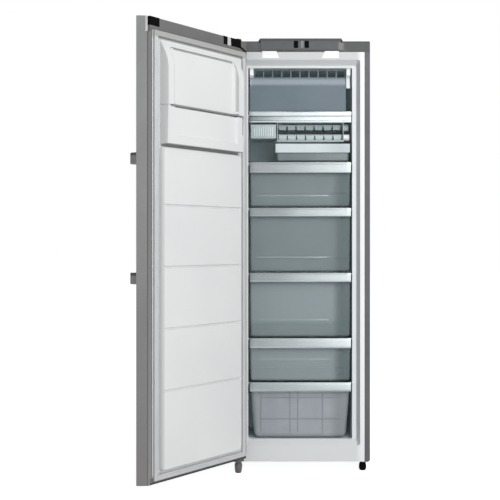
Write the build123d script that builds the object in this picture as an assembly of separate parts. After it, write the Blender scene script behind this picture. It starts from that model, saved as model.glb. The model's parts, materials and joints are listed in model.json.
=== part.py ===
from build123d import *
from math import cos, pi, radians, sin, sqrt
import os

# Upright single-door freezer cabinet, drawn with its door open.
# Millimetres. While a piece is drawn, x = 0 is the middle of the cabinet, y = 0 its front face and
# z = 0 the floor; y grows into the cabinet. Door pieces are drawn closed and then swung open about
# the hinge pins. At the end everything moves so that the origin lies on the floor under the middle
# of the space that the open appliance takes up.

# Cabinet box
cabinet_width = 595.0
cabinet_height = 1845.0
cabinet_depth = 590.0
floor_gap = 41.0
sheet = 1.2
wrap_corner = 12.0
front_fold = 23.0
fit_gap = 0.3
half_width = cabinet_width / 2

# Header across the top of the front
header_height = 48.0
header_depth = 62.0
header_wall = 2.5
header_bottom = cabinet_height - header_height
cover_width = 360.0
cover_rise = 10.0
cover_proud = 4.0
button_width = 18.0
button_height = 30.0
button_pitch = 46.0
button_travel = 1.5
controls_middle = 3.3
display_width = 11.6
display_middle = 6.8

# Throat, the sloping mouth of the liner, and the hollow behind it
mouth_half = half_width - 42.0
mouth_bottom = floor_gap + 70.0
mouth_top = header_bottom - 33.0
throat_half = mouth_half - 14.5
throat_depth = 25.0
throat_top = mouth_top - 21.0
hollow_half = throat_half - 17.0
hollow_bottom = mouth_bottom + 24.0
hollow_top = throat_top - 10.0
hollow_corner = 5.0
hollow_depth = cabinet_depth - 65.0
liner_wall = 2.5
flange_thickness = 3.0

# Step in the liner over the compressor
step_depth = cabinet_depth - 270.0
step_height = 300.0
step_slope = 40.0

# Shelves and ribs
glass_thickness = 4.0
glass_front = 40.0
glass_back = hollow_depth - 67.0
rib_width = 6.0
rib_height = 6.0
top_shelf_level = 1536.0
top_trim_top = 1548.0
top_trim_bottom = 1499.0
top_trim_groove = 5.0

# Drawers, from the top down: level of each strip's top edge, its height, and the ledge at the back
strip_tops = [1329.0, 1132.0, 852.0, 571.0, 381.0]
strip_heights = [48.0, 39.0, 41.0, 45.0, 41.0]
ledge_rises = [71.0, 60.0, 45.0, 49.0]
strip_half = hollow_half - 6.0
strip_face = 14.0
strip_sheet = 2.0
drawer_half = strip_half - 1.0
drawer_taper = 3.0
drawer_front = 30.0
drawer_back = hollow_depth - 85.0
drawer_wall = 2.4
drawer_corner = 12.0
basket_taper = 20.0
basket_corner = 26.0
basket_back = step_depth - 12.0
drawer_travel = drawer_back - 110.0
basket_travel = basket_back - 68.0

# Ice section under the top shelf
ice_left = -hollow_half + 124.0
ice_right = hollow_half - 36.0
ice_front = 36.0
ice_back = 150.0
web = 3.0
tray_half_depth = 20.0
tray_height = 22.0
tray_wall = 1.6
tray_cells = 7
tray_axes = [(66.0, 1437.0), (106.0, 1484.0)]
tray_pin = 4.0
tray_twist = 150.0
knob_radius = 14.0
knob_length = 26.0
running_gap = 0.05
ice_bin_left = ice_left - 6.6
ice_bin_right = hollow_half - 9.2
ice_bin_rim = 1408.0
ice_strip_height = 39.0
ice_bin_back = 240.0
ice_bin_travel = 190.0
box_left = -hollow_half + 11.0
box_right = ice_left - 4.5
box_bottom = 1430.0
box_rim = 1490.0
box_back = 200.0
box_travel = 150.0

# Top compartment flap
flap_half = hollow_half - 27.0
flap_left_reach = 19.0
flap_top = hollow_top - 5.0
flap_bottom = top_trim_top + 1.5
flap_slot_count = 10
flap_slot_height = 28.0
flap_bar = 6.0
flap_wall = 2.5
flap_axis = (52.0, hollow_top - 12.0)
flap_pin = 3.0
flap_open = 90.0

# Door
door_bottom = 56.0
door_top = cabinet_height - 4.0
door_thickness = 74.0
door_gap = 12.0
door_corner = 5.0
door_open = 127.35
door_open_limit = 135.0
pin_inset = 24.5
pin_reach = 40.0
pin_radius = 5.0
hinge_level = cabinet_height - 11.5
hinge_low = 66.0
end_slope = 10.5
end_flat = 12.0
hinge_clear = 22.0
top_cap_bottom = door_top - 59.0
bottom_cap_top = 93.0
inner_bottom = 68.0
block_top = hinge_level - 2.5
block_height = 34.0
gasket_half = half_width - 16.5
gasket_width = 21.0
gasket_height = 11.0
gasket_bottom = 80.0
gasket_top = top_cap_bottom - 1.0
dike_half = mouth_half - 5.5
dike_bottom = mouth_bottom - 1.5
dike_height = 15.0
dike_draft = 6.0
groove_levels = [414.0, 650.0, 886.0, 1122.0]
groove_width = 8.0
groove_depth = 7.0

# Covered compartment on the inside of the door
pocket_half = mouth_half - 13.5
pocket_draft = 9.0
pocket_height = 36.0
pocket_top = mouth_top - 19.0
pocket_shoulder = pocket_top - 105.0
pocket_seam = pocket_top - 240.0
pocket_bottom = pocket_top - 390.0
pocket_wall = 2.5
seam_gap = 5.0
dike_top = pocket_bottom - 6.0
door_flap_half = pocket_half - 43.0
door_flap_top = pocket_top - 18.0
door_flap_corner = 16.0
door_flap_open = 95.0
door_flap_pin = 2.2
flap_dish = (14.0, 22.0)
panel_dish = (7.5, 12.5)
recess_half = pocket_half - 27.0
recess_bottom = pocket_bottom + 20.0
recess_top = pocket_top - 37.0
recess_depth = 26.0

# Handle
handle_levels = [842.0, 1302.0]
bracket_height = 44.0
bracket_inset = 8.0
bracket_width = 40.0
handle_proud = 45.0
bar_width = 22.0
bar_thickness = 14.0
bar_overhang = 18.0

# Machine compartment
machine_roof = 290.0
machine_front = cabinet_depth - 218.0
compressor_radius = 72.0
compressor_height = 150.0
fan_level = 1610.0
fan_radius = 62.0
duct_face = hollow_depth - 59.0
duct_wall = 2.0
evaporator_bottom = 1120.0
evaporator_top = 1470.0

foot_place = (half_width - 28.5, 30.0)
foot_stud = 5.0
pin_x = -half_width + pin_inset
door_inner = -door_gap
door_outer = -door_gap - door_thickness
pin_y = door_outer + pin_reach
liner_floor_steel = floor_gap + 2 * sheet


# Helpers

def block(x0, x1, y0, y1, z0, z1):
    """Box between two corners."""
    middle = Pos((x0 + x1) / 2, (y0 + y1) / 2, (z0 + z1) / 2)
    return middle * Box(x1 - x0, y1 - y0, z1 - z0)


def front_plane(y):
    """Plane at depth y that faces the viewer: its x is +X and its y is +Z."""
    return Plane(origin=(0, y, 0), x_dir=(1, 0, 0), z_dir=(0, -1, 0))


def side_plane(x):
    """Plane at x whose own x is +Y and own y is +Z."""
    return Plane(origin=(x, 0, 0), x_dir=(0, 1, 0), z_dir=(1, 0, 0))


def front_rectangle(x0, x1, z0, z1, radius, y):
    """Rounded rectangle seen from the front."""
    outline = Pos((x0 + x1) / 2, (z0 + z1) / 2) * RectangleRounded(x1 - x0, z1 - z0, radius)
    return front_plane(y) * outline


def front_prism(x0, x1, z0, z1, radius, y0, y1):
    """Rounded rectangle seen from the front, carried from y0 back to y1."""
    return extrude(front_rectangle(x0, x1, z0, z1, radius, y0), amount=y0 - y1)


def carry_back(outline, y0, y1):
    """Flat (x, z) outline carried from y0 back to y1."""
    return extrude(front_plane(y0) * outline, amount=y0 - y1)


def carry_across(outline, x0, x1):
    """Flat (y, z) outline carried from x0 to x1."""
    return extrude(side_plane(x0) * outline, amount=x1 - x0)


def polygon(*points):
    """Closed straight-sided outline."""
    return make_face(Polyline(*points, close=True))


def rod_x(x0, x1, y, z, radius):
    """Round rod along X."""
    return extrude(side_plane(x0) * (Pos(y, z) * Circle(radius)), amount=x1 - x0)


def rod_y(x, y0, y1, z, radius):
    """Round rod along Y."""
    return extrude(front_plane(y0) * (Pos(x, z) * Circle(radius)), amount=y0 - y1)


def rod_z(x, y, z0, z1, radius):
    """Round rod along Z."""
    return Pos(x, y, (z0 + z1) / 2) * Cylinder(radius, z1 - z0)


def turned(x, y, outline):
    """(radius, height) outline turned about the vertical through x, y."""
    return Pos(x, y, 0) * revolve(Plane.XZ * outline, Axis.Z)


def mirrored(piece):
    """The same piece on the other side of the cabinet's middle."""
    return mirror(piece, about=Plane.YZ)


# Cabinet

def cabinet_wrap():
    """Side and top sheets bent from one strip, with folded front edges and turned-in feet flanges."""
    low, high = floor_gap, cabinet_height
    outer = front_prism(-half_width, half_width, low, high, wrap_corner, 0, cabinet_depth)
    inside = half_width - sheet
    inner = front_prism(-inside, inside, low + sheet, high - sheet, wrap_corner - sheet, -1, cabinet_depth + 1)
    opening = block(-half_width + 40, half_width - 40, -1, cabinet_depth + 1, low - 1, low + 2 * sheet)
    header_room = block(-half_width - 1, half_width + 1, -1, header_depth, header_bottom, high + 1)
    wrap = outer - inner - opening - header_room
    fold = block(half_width - front_fold, half_width, 0, sheet, low, header_bottom) & outer
    stud_hole = rod_z(*foot_place, low - 1, low + 3 * sheet, foot_stud + running_gap)
    return wrap + fold + mirrored(fold) - stud_hole


def hollow_profile():
    """Side view of the liner's hollow behind the throat, with the step over the compressor."""
    return polygon(
        (throat_depth, hollow_bottom),
        (step_depth, hollow_bottom),
        (step_depth, step_height),
        (step_depth + step_slope, step_height + step_slope),
        (hollow_depth, step_height + step_slope),
        (hollow_depth, hollow_top),
        (throat_depth, hollow_top),
    )


def hollow_space(wall=0.0):
    """The liner's hollow, grown by a wall on every side but the front."""
    profile = offset(hollow_profile(), wall, kind=Kind.INTERSECTION) if wall else hollow_profile()
    across = carry_across(profile, -hollow_half - wall, hollow_half + wall)
    rounded = front_prism(
        -hollow_half - wall,
        hollow_half + wall,
        hollow_bottom - wall,
        hollow_top + wall,
        hollow_corner + wall,
        throat_depth - wall,
        hollow_depth + wall,
    )
    return across & rounded


def throat_space():
    """The sloping mouth from the front face back to the hollow."""
    mouth = front_rectangle(-mouth_half, mouth_half, mouth_bottom, mouth_top, 10, -0.01)
    neck = front_rectangle(-throat_half, throat_half, hollow_bottom, throat_top, 10, throat_depth)
    return loft([mouth, neck])


def shelf_levels():
    """Underside of every glass shelf, from the top shelf down."""
    lower = [top - glass_thickness / 2 for top in strip_tops]
    return [top_shelf_level - glass_thickness / 2] + lower


def shelf_rib(level):
    """Moulded rib on the left wall that carries a glass shelf, with a rounded nose."""
    nose = rib_height / 2
    outline = polygon(
        (-hollow_half - 1, level),
        (-hollow_half - 1, level - rib_height - rib_width),
        (-hollow_half, level - rib_height - rib_width),
        (-hollow_half + rib_width, level - nose),
        (-hollow_half + rib_width, level),
    )
    back = glass_back if level > step_height + step_slope else step_depth
    return carry_back(outline, glass_front + 6, min(glass_back, back))


def inner_liner():
    """White vacuum-formed liner: flange, sloping throat, hollow, shelf ribs and drawer floor guides."""
    flange = block(
        -half_width + front_fold + fit_gap,
        half_width - front_fold - fit_gap,
        0,
        flange_thickness,
        floor_gap + sheet + fit_gap,
        header_bottom - fit_gap,
    )
    throat_body = front_prism(
        -mouth_half - liner_wall,
        mouth_half + liner_wall,
        mouth_bottom - liner_wall,
        mouth_top + liner_wall,
        12,
        0,
        throat_depth + liner_wall,
    )
    liner = flange + throat_body + hollow_space(liner_wall) - throat_space() - hollow_space()
    for level in shelf_levels():
        rib = shelf_rib(level)
        liner = liner + rib + mirrored(rib)
    guide = block(-150, -144, 60, step_depth - 10, hollow_bottom - 1, hollow_bottom + 3)
    return liner + guide + mirrored(guide)


def cabinet_foam():
    """Insulation between the wrap, the liner, the back panel and the machine compartment."""
    inside = half_width - sheet - fit_gap
    top = cabinet_height - sheet - fit_gap
    body = front_prism(
        -inside,
        inside,
        liner_floor_steel + fit_gap,
        top,
        wrap_corner,
        flange_thickness + fit_gap,
        cabinet_depth - sheet - fit_gap,
    )
    header_room = block(-half_width, half_width, 0, header_depth + fit_gap, header_bottom, top + 1)
    machine = block(
        -half_width,
        half_width,
        machine_front - sheet - fit_gap,
        cabinet_depth + 1,
        0,
        machine_roof + sheet + fit_gap,
    )
    throat_body = front_prism(
        -mouth_half - liner_wall - fit_gap,
        mouth_half + liner_wall + fit_gap,
        mouth_bottom - liner_wall - fit_gap,
        mouth_top + liner_wall + fit_gap,
        12,
        -1,
        throat_depth + liner_wall + fit_gap,
    )
    return body - header_room - machine - throat_body - hollow_space(liner_wall + fit_gap)


def base_pan():
    """Steel pan under the insulation, stepped up over the machine compartment."""
    low = floor_gap + sheet
    outline = polygon(
        (flange_thickness + fit_gap, low),
        (machine_front, low),
        (machine_front, machine_roof),
        (cabinet_depth - sheet - fit_gap, machine_roof),
        (cabinet_depth - sheet - fit_gap, machine_roof + sheet),
        (machine_front - sheet, machine_roof + sheet),
        (machine_front - sheet, low + sheet),
        (flange_thickness + fit_gap, low + sheet),
    )
    inside = half_width - wrap_corner
    return carry_across(outline, -inside, inside)


def back_panel():
    """Rear sheet with three pressed fields, two wall spacers and a notch for the pipes."""
    inside = half_width - sheet - fit_gap
    low, high = machine_roof + 2 * sheet, cabinet_height - wrap_corner
    panel = block(-inside, inside, cabinet_depth - sheet, cabinet_depth, low, high)
    field_height = (high - low - 4 * 60) / 3
    half = inside - 76
    for row in range(3):
        z0 = low + 60 + row * (field_height + 60)
        z1 = z0 + field_height
        field = front_prism(-half, half, z0, z1, 30, cabinet_depth - 0.01, cabinet_depth + 3)
        dish = front_prism(-half + 12, half - 12, z0 + 12, z1 - 12, 20, cabinet_depth + 1.5, cabinet_depth + 4)
        panel = panel + (field - dish)
    for x in (-half + 40, half - 40):
        spacer = front_prism(x - 20, x + 20, high - 45, high - 10, 6, cabinet_depth - 0.01, cabinet_depth + 14)
        panel = panel + spacer
    return panel


# Header

def header_fascia():
    """Dark moulding across the top front: hollow, rounded on its top edge, notched for the hinge."""
    z0, z1 = header_bottom + fit_gap, cabinet_height
    outline = polygon((0, z0), (0, z1 - 9), (9, z1), (header_depth - fit_gap, z1), (header_depth - fit_gap, z0))
    body = carry_across(outline, -half_width, half_width)
    edges = body.edges().filter_by(Axis.X).sort_by(Axis.Z)[-3:]
    body = fillet(edges.sort_by(Axis.Y)[:2], 6)
    room = block(
        -half_width + header_wall,
        half_width - header_wall,
        header_wall + 4,
        header_depth + 1,
        z0 - 1,
        z1 - header_wall - 3,
    )
    notch = block(pin_x - 22, pin_x + 34, -1, 20, hinge_level - 4, cabinet_height - 3)
    return body - room - notch - cover_room()


def cover_room():
    """Space in the fascia that the raised centre cover drops into."""
    half = cover_width / 2 - 8
    return block(-half, half, -1, header_depth - 6, header_bottom + 8, cabinet_height + 1)


def header_cover():
    """Raised centre cover with bevelled ends and windows for the buttons and the display."""
    half = cover_width / 2
    z0, z1 = header_bottom + 8 + fit_gap, cabinet_height + cover_rise
    face = polygon(
        (-half + 8 + fit_gap, z0), (-half + 8 + fit_gap, cabinet_height + fit_gap),
        (-half, cabinet_height + fit_gap), (-half + 7, z1), (half - 7, z1),
        (half, cabinet_height + fit_gap), (half - 8 - fit_gap, cabinet_height + fit_gap), (half - 8 - fit_gap, z0),
    )
    body = carry_back(face, -cover_proud, header_depth - 6 - fit_gap)
    body = chamfer(body.edges().filter_by(Axis.X).sort_by(Axis.Z)[-2:].sort_by(Axis.Y)[:1], 3)
    room = block(-half + 12, half - 12, -cover_proud + 3, header_depth, z0 - 1, z1 - 3)
    cover = body - room
    windows = [(x, button_width / 2) for x in button_places()] + [(display_middle, display_width / 2)]
    for x, half_x in windows:
        cover = cover - button_block(x, half_x + fit_gap, button_height / 2 + fit_gap, -10, 10)
    return cover


def button_places():
    """Middles of the two buttons."""
    return controls_middle - button_pitch / 2, controls_middle + button_pitch / 2


def button_block(x, half_x, half_z, y0, y1):
    """Rectangular block at button level."""
    level = header_bottom + 32
    return front_prism(x - half_x, x + half_x, level - half_z, level + half_z, 2, y0, y1)


def push_button(x):
    """Square push button with a retaining flange behind the cover and a stem."""
    face = -cover_proud - button_travel - 0.5
    cap = button_block(x, button_width / 2, button_height / 2, face, 1)
    cap = chamfer(cap.edges().group_by(Axis.Y)[0], 0.8)
    flange = button_block(x, button_width / 2 + 1.4, button_height / 2 + 1, -0.6, 1)
    stem = button_block(x, 4, 4, 1, 14)
    return cap + flange + stem


def control_display():
    """Pale display bar with three sunk windows, on a board that the buttons press."""
    x = display_middle
    lens = button_block(x, display_width / 2, button_height / 2, -cover_proud + 0.5, 12)
    for step in (-8, 0, 8):
        level = header_bottom + 32 + step
        lens = lens - block(x - 3, x + 3, -cover_proud, -cover_proud + 1, level - 2, level + 2)
    board = block(-60, 66, 17, 19, header_bottom + 10, header_bottom + 51)
    link = button_block(x, 4, 10, 11, 18)
    for place in button_places():
        board = board + button_block(place, 3, 3, 15.8, 18)
    for place in (-58, 64):
        board = board + block(place - 2, place + 2, 18, header_depth - 6, header_bottom + 10, header_bottom + 14)
    return lens + board + link


def header_pads():
    """Two white pads under the header, thin where the door's seal lands on them."""
    level = header_bottom + 3
    face = polygon((-164, level), (-104, level), (-91, level - 29), (-164, level - 29))
    wedge = polygon((0, level), (-4, level), (-4, level - 3), (-0.7, level - 15), (-0.7, level - 29), (0, level - 29))
    left = carry_back(face, -4, 0) & carry_across(wedge, -170, -85)
    return left + mirrored(left)


# Hinges and feet

def top_hinge_bracket():
    """Cranked steel plate: foot on the cabinet's front rail, arm out over the door."""
    level = hinge_level
    arm = extrude(
        Pos(0, 0, level)
        * make_face(
            [
                Line((pin_x + 16, 24), (pin_x - 12, 24)),
                Line((pin_x - 12, 24), (pin_x - 16, pin_y)),
                ThreePointArc((pin_x - 16, pin_y), (pin_x, pin_y - 16), (pin_x + 16, pin_y)),
                Line((pin_x + 16, pin_y), (pin_x + 16, 24)),
            ]
        ),
        amount=4,
    )
    leg = block(pin_x - 12, pin_x + 16, 20, 24, header_bottom, level + 4)
    foot = block(pin_x - 12, pin_x + 16, 20, 56, header_bottom, header_bottom + 4)
    bore = rod_z(pin_x, pin_y, level - 1, level + 5, pin_radius)
    return arm + leg + foot - bore


def hinge_cover():
    """Black moulded cap over the top hinge arm, with a sloping web down the header beside it."""
    level = hinge_level
    side = pin_x + 20
    outline = make_face(
        [
            Line((side, -fit_gap - 0.2), (pin_x - 20, -fit_gap - 0.2)),
            Line((pin_x - 20, -fit_gap - 0.2), (pin_x - 20, pin_y)),
            ThreePointArc((pin_x - 20, pin_y), (pin_x, pin_y - 20), (side, pin_y)),
            Line((side, pin_y), (side, -fit_gap - 0.2)),
        ]
    )
    body = extrude(Pos(0, 0, level + 4) * outline, amount=3)
    body = fillet(body.edges().group_by(Axis.Z)[-1], 1.2)
    web_outline = polygon(
        (side - 3.4, level + 5), (side, level + 5), (side + 1, level - 5), (side + 24, header_bottom + 0.5),
        (side + 15, header_bottom + 0.5), (side - 9, level - 11), (side - 9, level - 4), (side - 3.4, level - 3),
    )
    return body + carry_back(web_outline, -3.5, -fit_gap - 0.2)


def bottom_hinge_bracket():
    """Angle bracket under the door with the leg that carries the front left foot."""
    level = hinge_low - 4
    plate = extrude(
        Pos(0, 0, level)
        * make_face(
            [
                Line((pin_x + 30, 0), (pin_x - 16, 0)),
                Line((pin_x - 16, 0), (pin_x - 16, pin_y)),
                ThreePointArc((pin_x - 16, pin_y), (pin_x, pin_y - 16), (pin_x + 16, pin_y)),
                Line((pin_x + 16, pin_y), (pin_x + 30, 0)),
            ]
        ),
        amount=4,
    )
    web_plate = block(pin_x - 16, pin_x + 30, -4, 0, floor_gap + 3, level + 4)
    leg = turned(
        pin_x + 7, -22, polygon((0, 22), (11, 22), (15, 58), (15, level + 1), (0, level + 1))
    )
    bore = rod_z(pin_x, pin_y, level - 1, level + 5, pin_radius)
    return plate + web_plate + leg - bore


def hinge_pins():
    """Top and bottom pins; the bottom one has the collar that the door stands on."""
    bottom = rod_z(pin_x, pin_y, hinge_low - 4, inner_bottom + 16, pin_radius)
    collar = rod_z(pin_x, pin_y, hinge_low, inner_bottom - 0.5, pin_radius + 3.5)
    top = rod_z(pin_x, pin_y, block_top - block_height, hinge_level + 4, pin_radius)
    return bottom + collar + top


def foot_outline(height):
    """Half section of a round foot with a bellied rim and a stud."""
    return make_face(
        [
            Line((0, 0), (12, 0)),
            ThreePointArc((12, 0), (16, 9), (12.5, 19)),
            Line((12.5, 19), (foot_stud, 21.7)),
            Line((foot_stud, 21.7), (foot_stud, height)),
            Line((foot_stud, height), (0, height)),
            Line((0, height), (0, 0)),
        ]
    )


def front_feet():
    """Screw feet: the left one under the hinge leg, the right one under the cabinet."""
    left = turned(pin_x + 7, -22, polygon((0, 0), (12, 0), (14.5, 4), (12.5, 18), (6, 21.7), (0, 21.7)))
    right = turned(*foot_place, foot_outline(floor_gap + sheet))
    return left + right


def rear_feet():
    """Two moulded skids under the machine compartment."""
    back = cabinet_depth - 7
    outline = make_face(
        [
            Line((back - 43, 0), (back - 13, 0)),
            ThreePointArc((back - 13, 0), (back - 4, 5), (back, 14)),
            Line((back, 14), (back, floor_gap)),
            Line((back, floor_gap), (back - 63, floor_gap)),
            Line((back - 63, floor_gap), (back - 63, 18)),
            ThreePointArc((back - 63, 18), (back - 57, 6), (back - 43, 0)),
        ]
    )
    left = carry_across(outline, -half_width + 12.5, -half_width + 35.5)
    return left + mirrored(left)


# Machine compartment

def machine_tray():
    """Steel rail that carries the compressor between the side sheets."""
    outline = polygon(
        (machine_front + 20, floor_gap + sheet),
        (cabinet_depth - 20, floor_gap + sheet),
        (cabinet_depth - 20, floor_gap + 12),
        (cabinet_depth - 22, floor_gap + 12),
        (cabinet_depth - 22, floor_gap + 2 + sheet),
        (machine_front + 22, floor_gap + 2 + sheet),
        (machine_front + 22, floor_gap + 12),
        (machine_front + 20, floor_gap + 12),
    )
    inside = half_width - wrap_corner
    return carry_across(outline, -inside, inside)


def compressor_place():
    """Middle of the compressor in plan."""
    return -90.0, machine_front + 118.0


def compressor():
    """Hermetic pot with a seam flange, on a pressed foot plate with four rubber grommets."""
    x, y = compressor_place()
    low = floor_gap + 2 + sheet
    r, h = compressor_radius, compressor_height
    outline = make_face(
        [
            Line((0, low + 16), (r * 0.7, low + 16)),
            ThreePointArc((r * 0.7, low + 16), (r * 0.93, low + 24), (r, low + 44)),
            Line((r, low + 44), (r, low + 84)),
            Line((r, low + 84), (r + 5, low + 84)),
            Line((r + 5, low + 84), (r + 5, low + 88)),
            Line((r + 5, low + 88), (r, low + 88)),
            Line((r, low + 88), (r, low + h - 36)),
            CenterArc((r - 36, low + h - 36), 36, 0, 90),
            Line((r - 36, low + h), (0, low + h)),
            Line((0, low + h), (0, low + 16)),
        ]
    )
    body = turned(x, y, outline)
    plate = Pos(x, y, low + 14) * extrude(RectangleRounded(190, 130, 14), amount=3)
    body = body + plate
    for dx in (-80, 80):
        for dy in (-50, 50):
            body = body + rod_z(x + dx, y + dy, low, low + 18, 9)
    return body


def relay_cover():
    """Start relay and overload housing clipped on the compressor's side."""
    x, y = compressor_place()
    side = x + compressor_radius
    low = floor_gap + 60
    body = block(side - 8, side + 42, y - 26, y + 26, low, low + 58)
    body = fillet(body.edges().group_by(Axis.X)[-1], 5)
    seam_level = floor_gap + 2 + sheet + 86
    pot = rod_z(x, y, 0, 300, compressor_radius + fit_gap)
    seam = rod_z(x, y, seam_level - 2.5, seam_level + 2.5, compressor_radius + 5.5)
    return body - pot - seam


def drip_tray():
    """Evaporating tray over the compressor, open at the top."""
    x, y = compressor_place()
    low = floor_gap + 2 + sheet + compressor_height + fit_gap
    outer = Pos(x, y, low) * extrude(RectangleRounded(200, 150, 18), amount=34, taper=-6)
    inner = Pos(x, y, low + 2) * extrude(RectangleRounded(196, 146, 16), amount=40, taper=-6)
    return outer - inner


def pipe_run(points, radius, bend):
    """Round pipe along straight runs joined by equal bends."""
    path = FilletPolyline(*points, radius=bend)
    start = Plane(origin=path @ 0, z_dir=path % 0)
    return sweep(start * Circle(radius), path=path)


def refrigerant_pipes():
    """Suction and discharge pipes of the compressor, with the filter dryer on a rising pipe."""
    x, y = compressor_place()
    low = floor_gap + 110
    wall = compressor_radius + 0.2
    riser = (x - 130, y + 60)
    suction = pipe_run(
        [(x - wall, y, low), (x - 130, y, low), (*riser, low), (*riser, machine_roof)],
        4,
        16,
    )
    dryer_x = x + 200
    dryer = turned(
        dryer_x,
        y + 50,
        polygon((0, 120), (4, 120), (11, 132), (11, 205), (4, 217), (4, machine_roof), (0, machine_roof)),
    )
    discharge = pipe_run(
        [
            (x, y + wall, low),
            (x, y + 92, low),
            (dryer_x, y + 92, low),
            (dryer_x, y + 50, low),
            (dryer_x, y + 50, low + 32),
        ],
        3,
        10,
    )
    return suction + dryer + discharge


def mains_inlet():
    """Three-pin appliance inlet in a bracket at the right of the machine compartment."""
    inside = half_width - sheet
    outer = front_prism(inside - 70, inside - 22, 60, 90, 4, cabinet_depth - 26, cabinet_depth - 2)
    mouth = front_prism(inside - 63, inside - 29, 66, 84, 3, cabinet_depth - 18, cabinet_depth)
    bracket = block(inside - 22, inside - fit_gap, cabinet_depth - 12, cabinet_depth - 9, 60, 90)
    seat = block(inside - 70, inside - 22, cabinet_depth - 26, cabinet_depth - 22.1, floor_gap + 3.3, 60.5)
    inlet = outer - mouth + bracket + seat
    for x, z in ((-56, 72), (-46, 78), (-36, 72)):
        inlet = inlet + block(inside + x - 1.5, inside + x + 1.5, cabinet_depth - 20, cabinet_depth - 8, z - 3, z + 3)
    return inlet


# Cold air system

def duct_cover():
    """Rear inner wall with a round fan opening, rows of air slots and an edge that meets the liner."""
    half = hollow_half - fit_gap
    low, high = step_height + step_slope + fit_gap, hollow_top - fit_gap
    face = block(-half, half, duct_face, duct_face + duct_wall, low, high - hollow_corner)
    for x in (-half, half - 3):
        face = face + block(x, x + 3, duct_face, hollow_depth - fit_gap, low, high - hollow_corner)
    for top in strip_tops[:4]:
        for x in (-120, 0, 120):
            face = face - front_prism(x - 40, x + 40, top - 74, top - 62, 5.9, duct_face - 1, duct_face + 3)
    ring = rod_y(0, duct_face - 1, duct_face + 3, fan_level, fan_radius)
    bars = block(-fan_radius, fan_radius, duct_face, duct_face + duct_wall, fan_level - 2, fan_level + 2)
    for step in (-2, -1, 1, 2):
        level = fan_level + step * 20
        bars = bars + block(-fan_radius, fan_radius, duct_face, duct_face + duct_wall, level - 2, level + 2)
    return face - ring + (bars & ring)


def fan_motor():
    """Round fan motor on a cross that reaches the liner's back wall."""
    motor = rod_y(0, hollow_depth - 28, hollow_depth - fit_gap, fan_level, 20)
    shaft = rod_y(0, hollow_depth - 44, hollow_depth - 28, fan_level, 3)
    arms = block(-75, 75, hollow_depth - 6, hollow_depth - fit_gap, fan_level - 7, fan_level + 7)
    return motor + shaft + arms


def fan_wheel():
    """Five-blade axial wheel on the motor shaft."""
    y0, y1 = duct_face + 7, hollow_depth - 30
    hub = rod_y(0, y0, y1, fan_level, 14)
    blade = Pos(0, (y0 + y1) / 2, fan_level + 31) * Rot(0, 0, 32) * Box(27, 2.2, 44)
    wheel = hub
    for turn in range(5):
        about = Pos(0, 0, fan_level) * Rot(0, turn * 72, 0) * Pos(0, 0, -fan_level)
        wheel = wheel + about * blade
    return wheel - rod_y(0, y0 - 1, y1 + 1, fan_level, 3 + running_gap)


def evaporator_coil():
    """Serpentine tube through a row of fins, with the defrost heater tube below."""
    y = (duct_face + hollow_depth) / 2
    right = hollow_half - 54
    left = -right
    pitch = 50.0
    coil = rod_x(left, right, y, evaporator_bottom + 20, 5)
    for row in range(1, 7):
        level = evaporator_bottom + 20 + row * pitch
        coil = coil + rod_x(left, right, y, level, 5)
        side = right if row % 2 else left
        ring = Pos(side, y, level - pitch / 2) * Rot(90, 0, 0) * Torus(pitch / 2, 5)
        x0, x1 = (side, side + 40) if row % 2 else (side - 40, side)
        coil = coil + (ring & block(x0, x1, y - 8, y + 8, level - pitch, level + 20))
    fins = 9
    for column in range(fins):
        x = left + 18 + column * (2 * right - 36) / (fins - 1)
        coil = coil + block(x - 0.6, x + 0.6, y - 20, y + 22, evaporator_bottom, evaporator_top)
    hanger = block(left + 17, right - 17, y + 20, hollow_depth - fit_gap, evaporator_top - 12, evaporator_top - 6)
    return coil + hanger


# Inside fittings

def glass_shelves():
    """Six toughened glass shelves with rounded front corners, each on its pair of ribs."""
    width = 2 * (hollow_half - fit_gap)
    plan = RectangleRounded(width, glass_back - glass_front, 8)
    shelves = None
    for level in shelf_levels():
        shelf = Pos(0, (glass_front + glass_back) / 2, level) * extrude(plan, amount=glass_thickness)
        shelves = shelf if shelves is None else shelves + shelf
    return shelves


def top_shelf_trim():
    """Double-banded trim that clips on the top shelf's front edge."""
    y0, y1 = 30.0, glass_front + 14
    z0, z1 = top_trim_bottom, top_trim_top
    groove_low = z0 + 16
    slot_low = top_shelf_level - glass_thickness / 2
    outline = polygon(
        (y0 + 2, z1), (y0, z1 - 4), (y0, groove_low + top_trim_groove),
        (y0 + 4.4, groove_low + top_trim_groove), (y0 + 4.4, groove_low), (y0, groove_low), (y0, z0 + 3),
        (y0 + 2, z0), (y0 + 4, z0), (y0 + 6, z0 + 4), (y0 + 6, slot_low - 2.5), (y1, slot_low - 2.5), (y1, slot_low - fit_gap),
        (glass_front - fit_gap, slot_low - fit_gap),
        (glass_front - fit_gap, slot_low + glass_thickness + fit_gap), (y1, slot_low + glass_thickness + fit_gap),
        (y1, slot_low + glass_thickness + 2.5), (y0 + 6, slot_low + glass_thickness + 2.5), (y0 + 5, z1),
    )
    half = hollow_half - 3
    trim = carry_across(outline, -half, half)
    rib_room = block(
        -hollow_half, -hollow_half + rib_width + 1, glass_front, y1 + 1, slot_low - 30, slot_low
    )
    return trim - rib_room - mirrored(rib_room)


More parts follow.
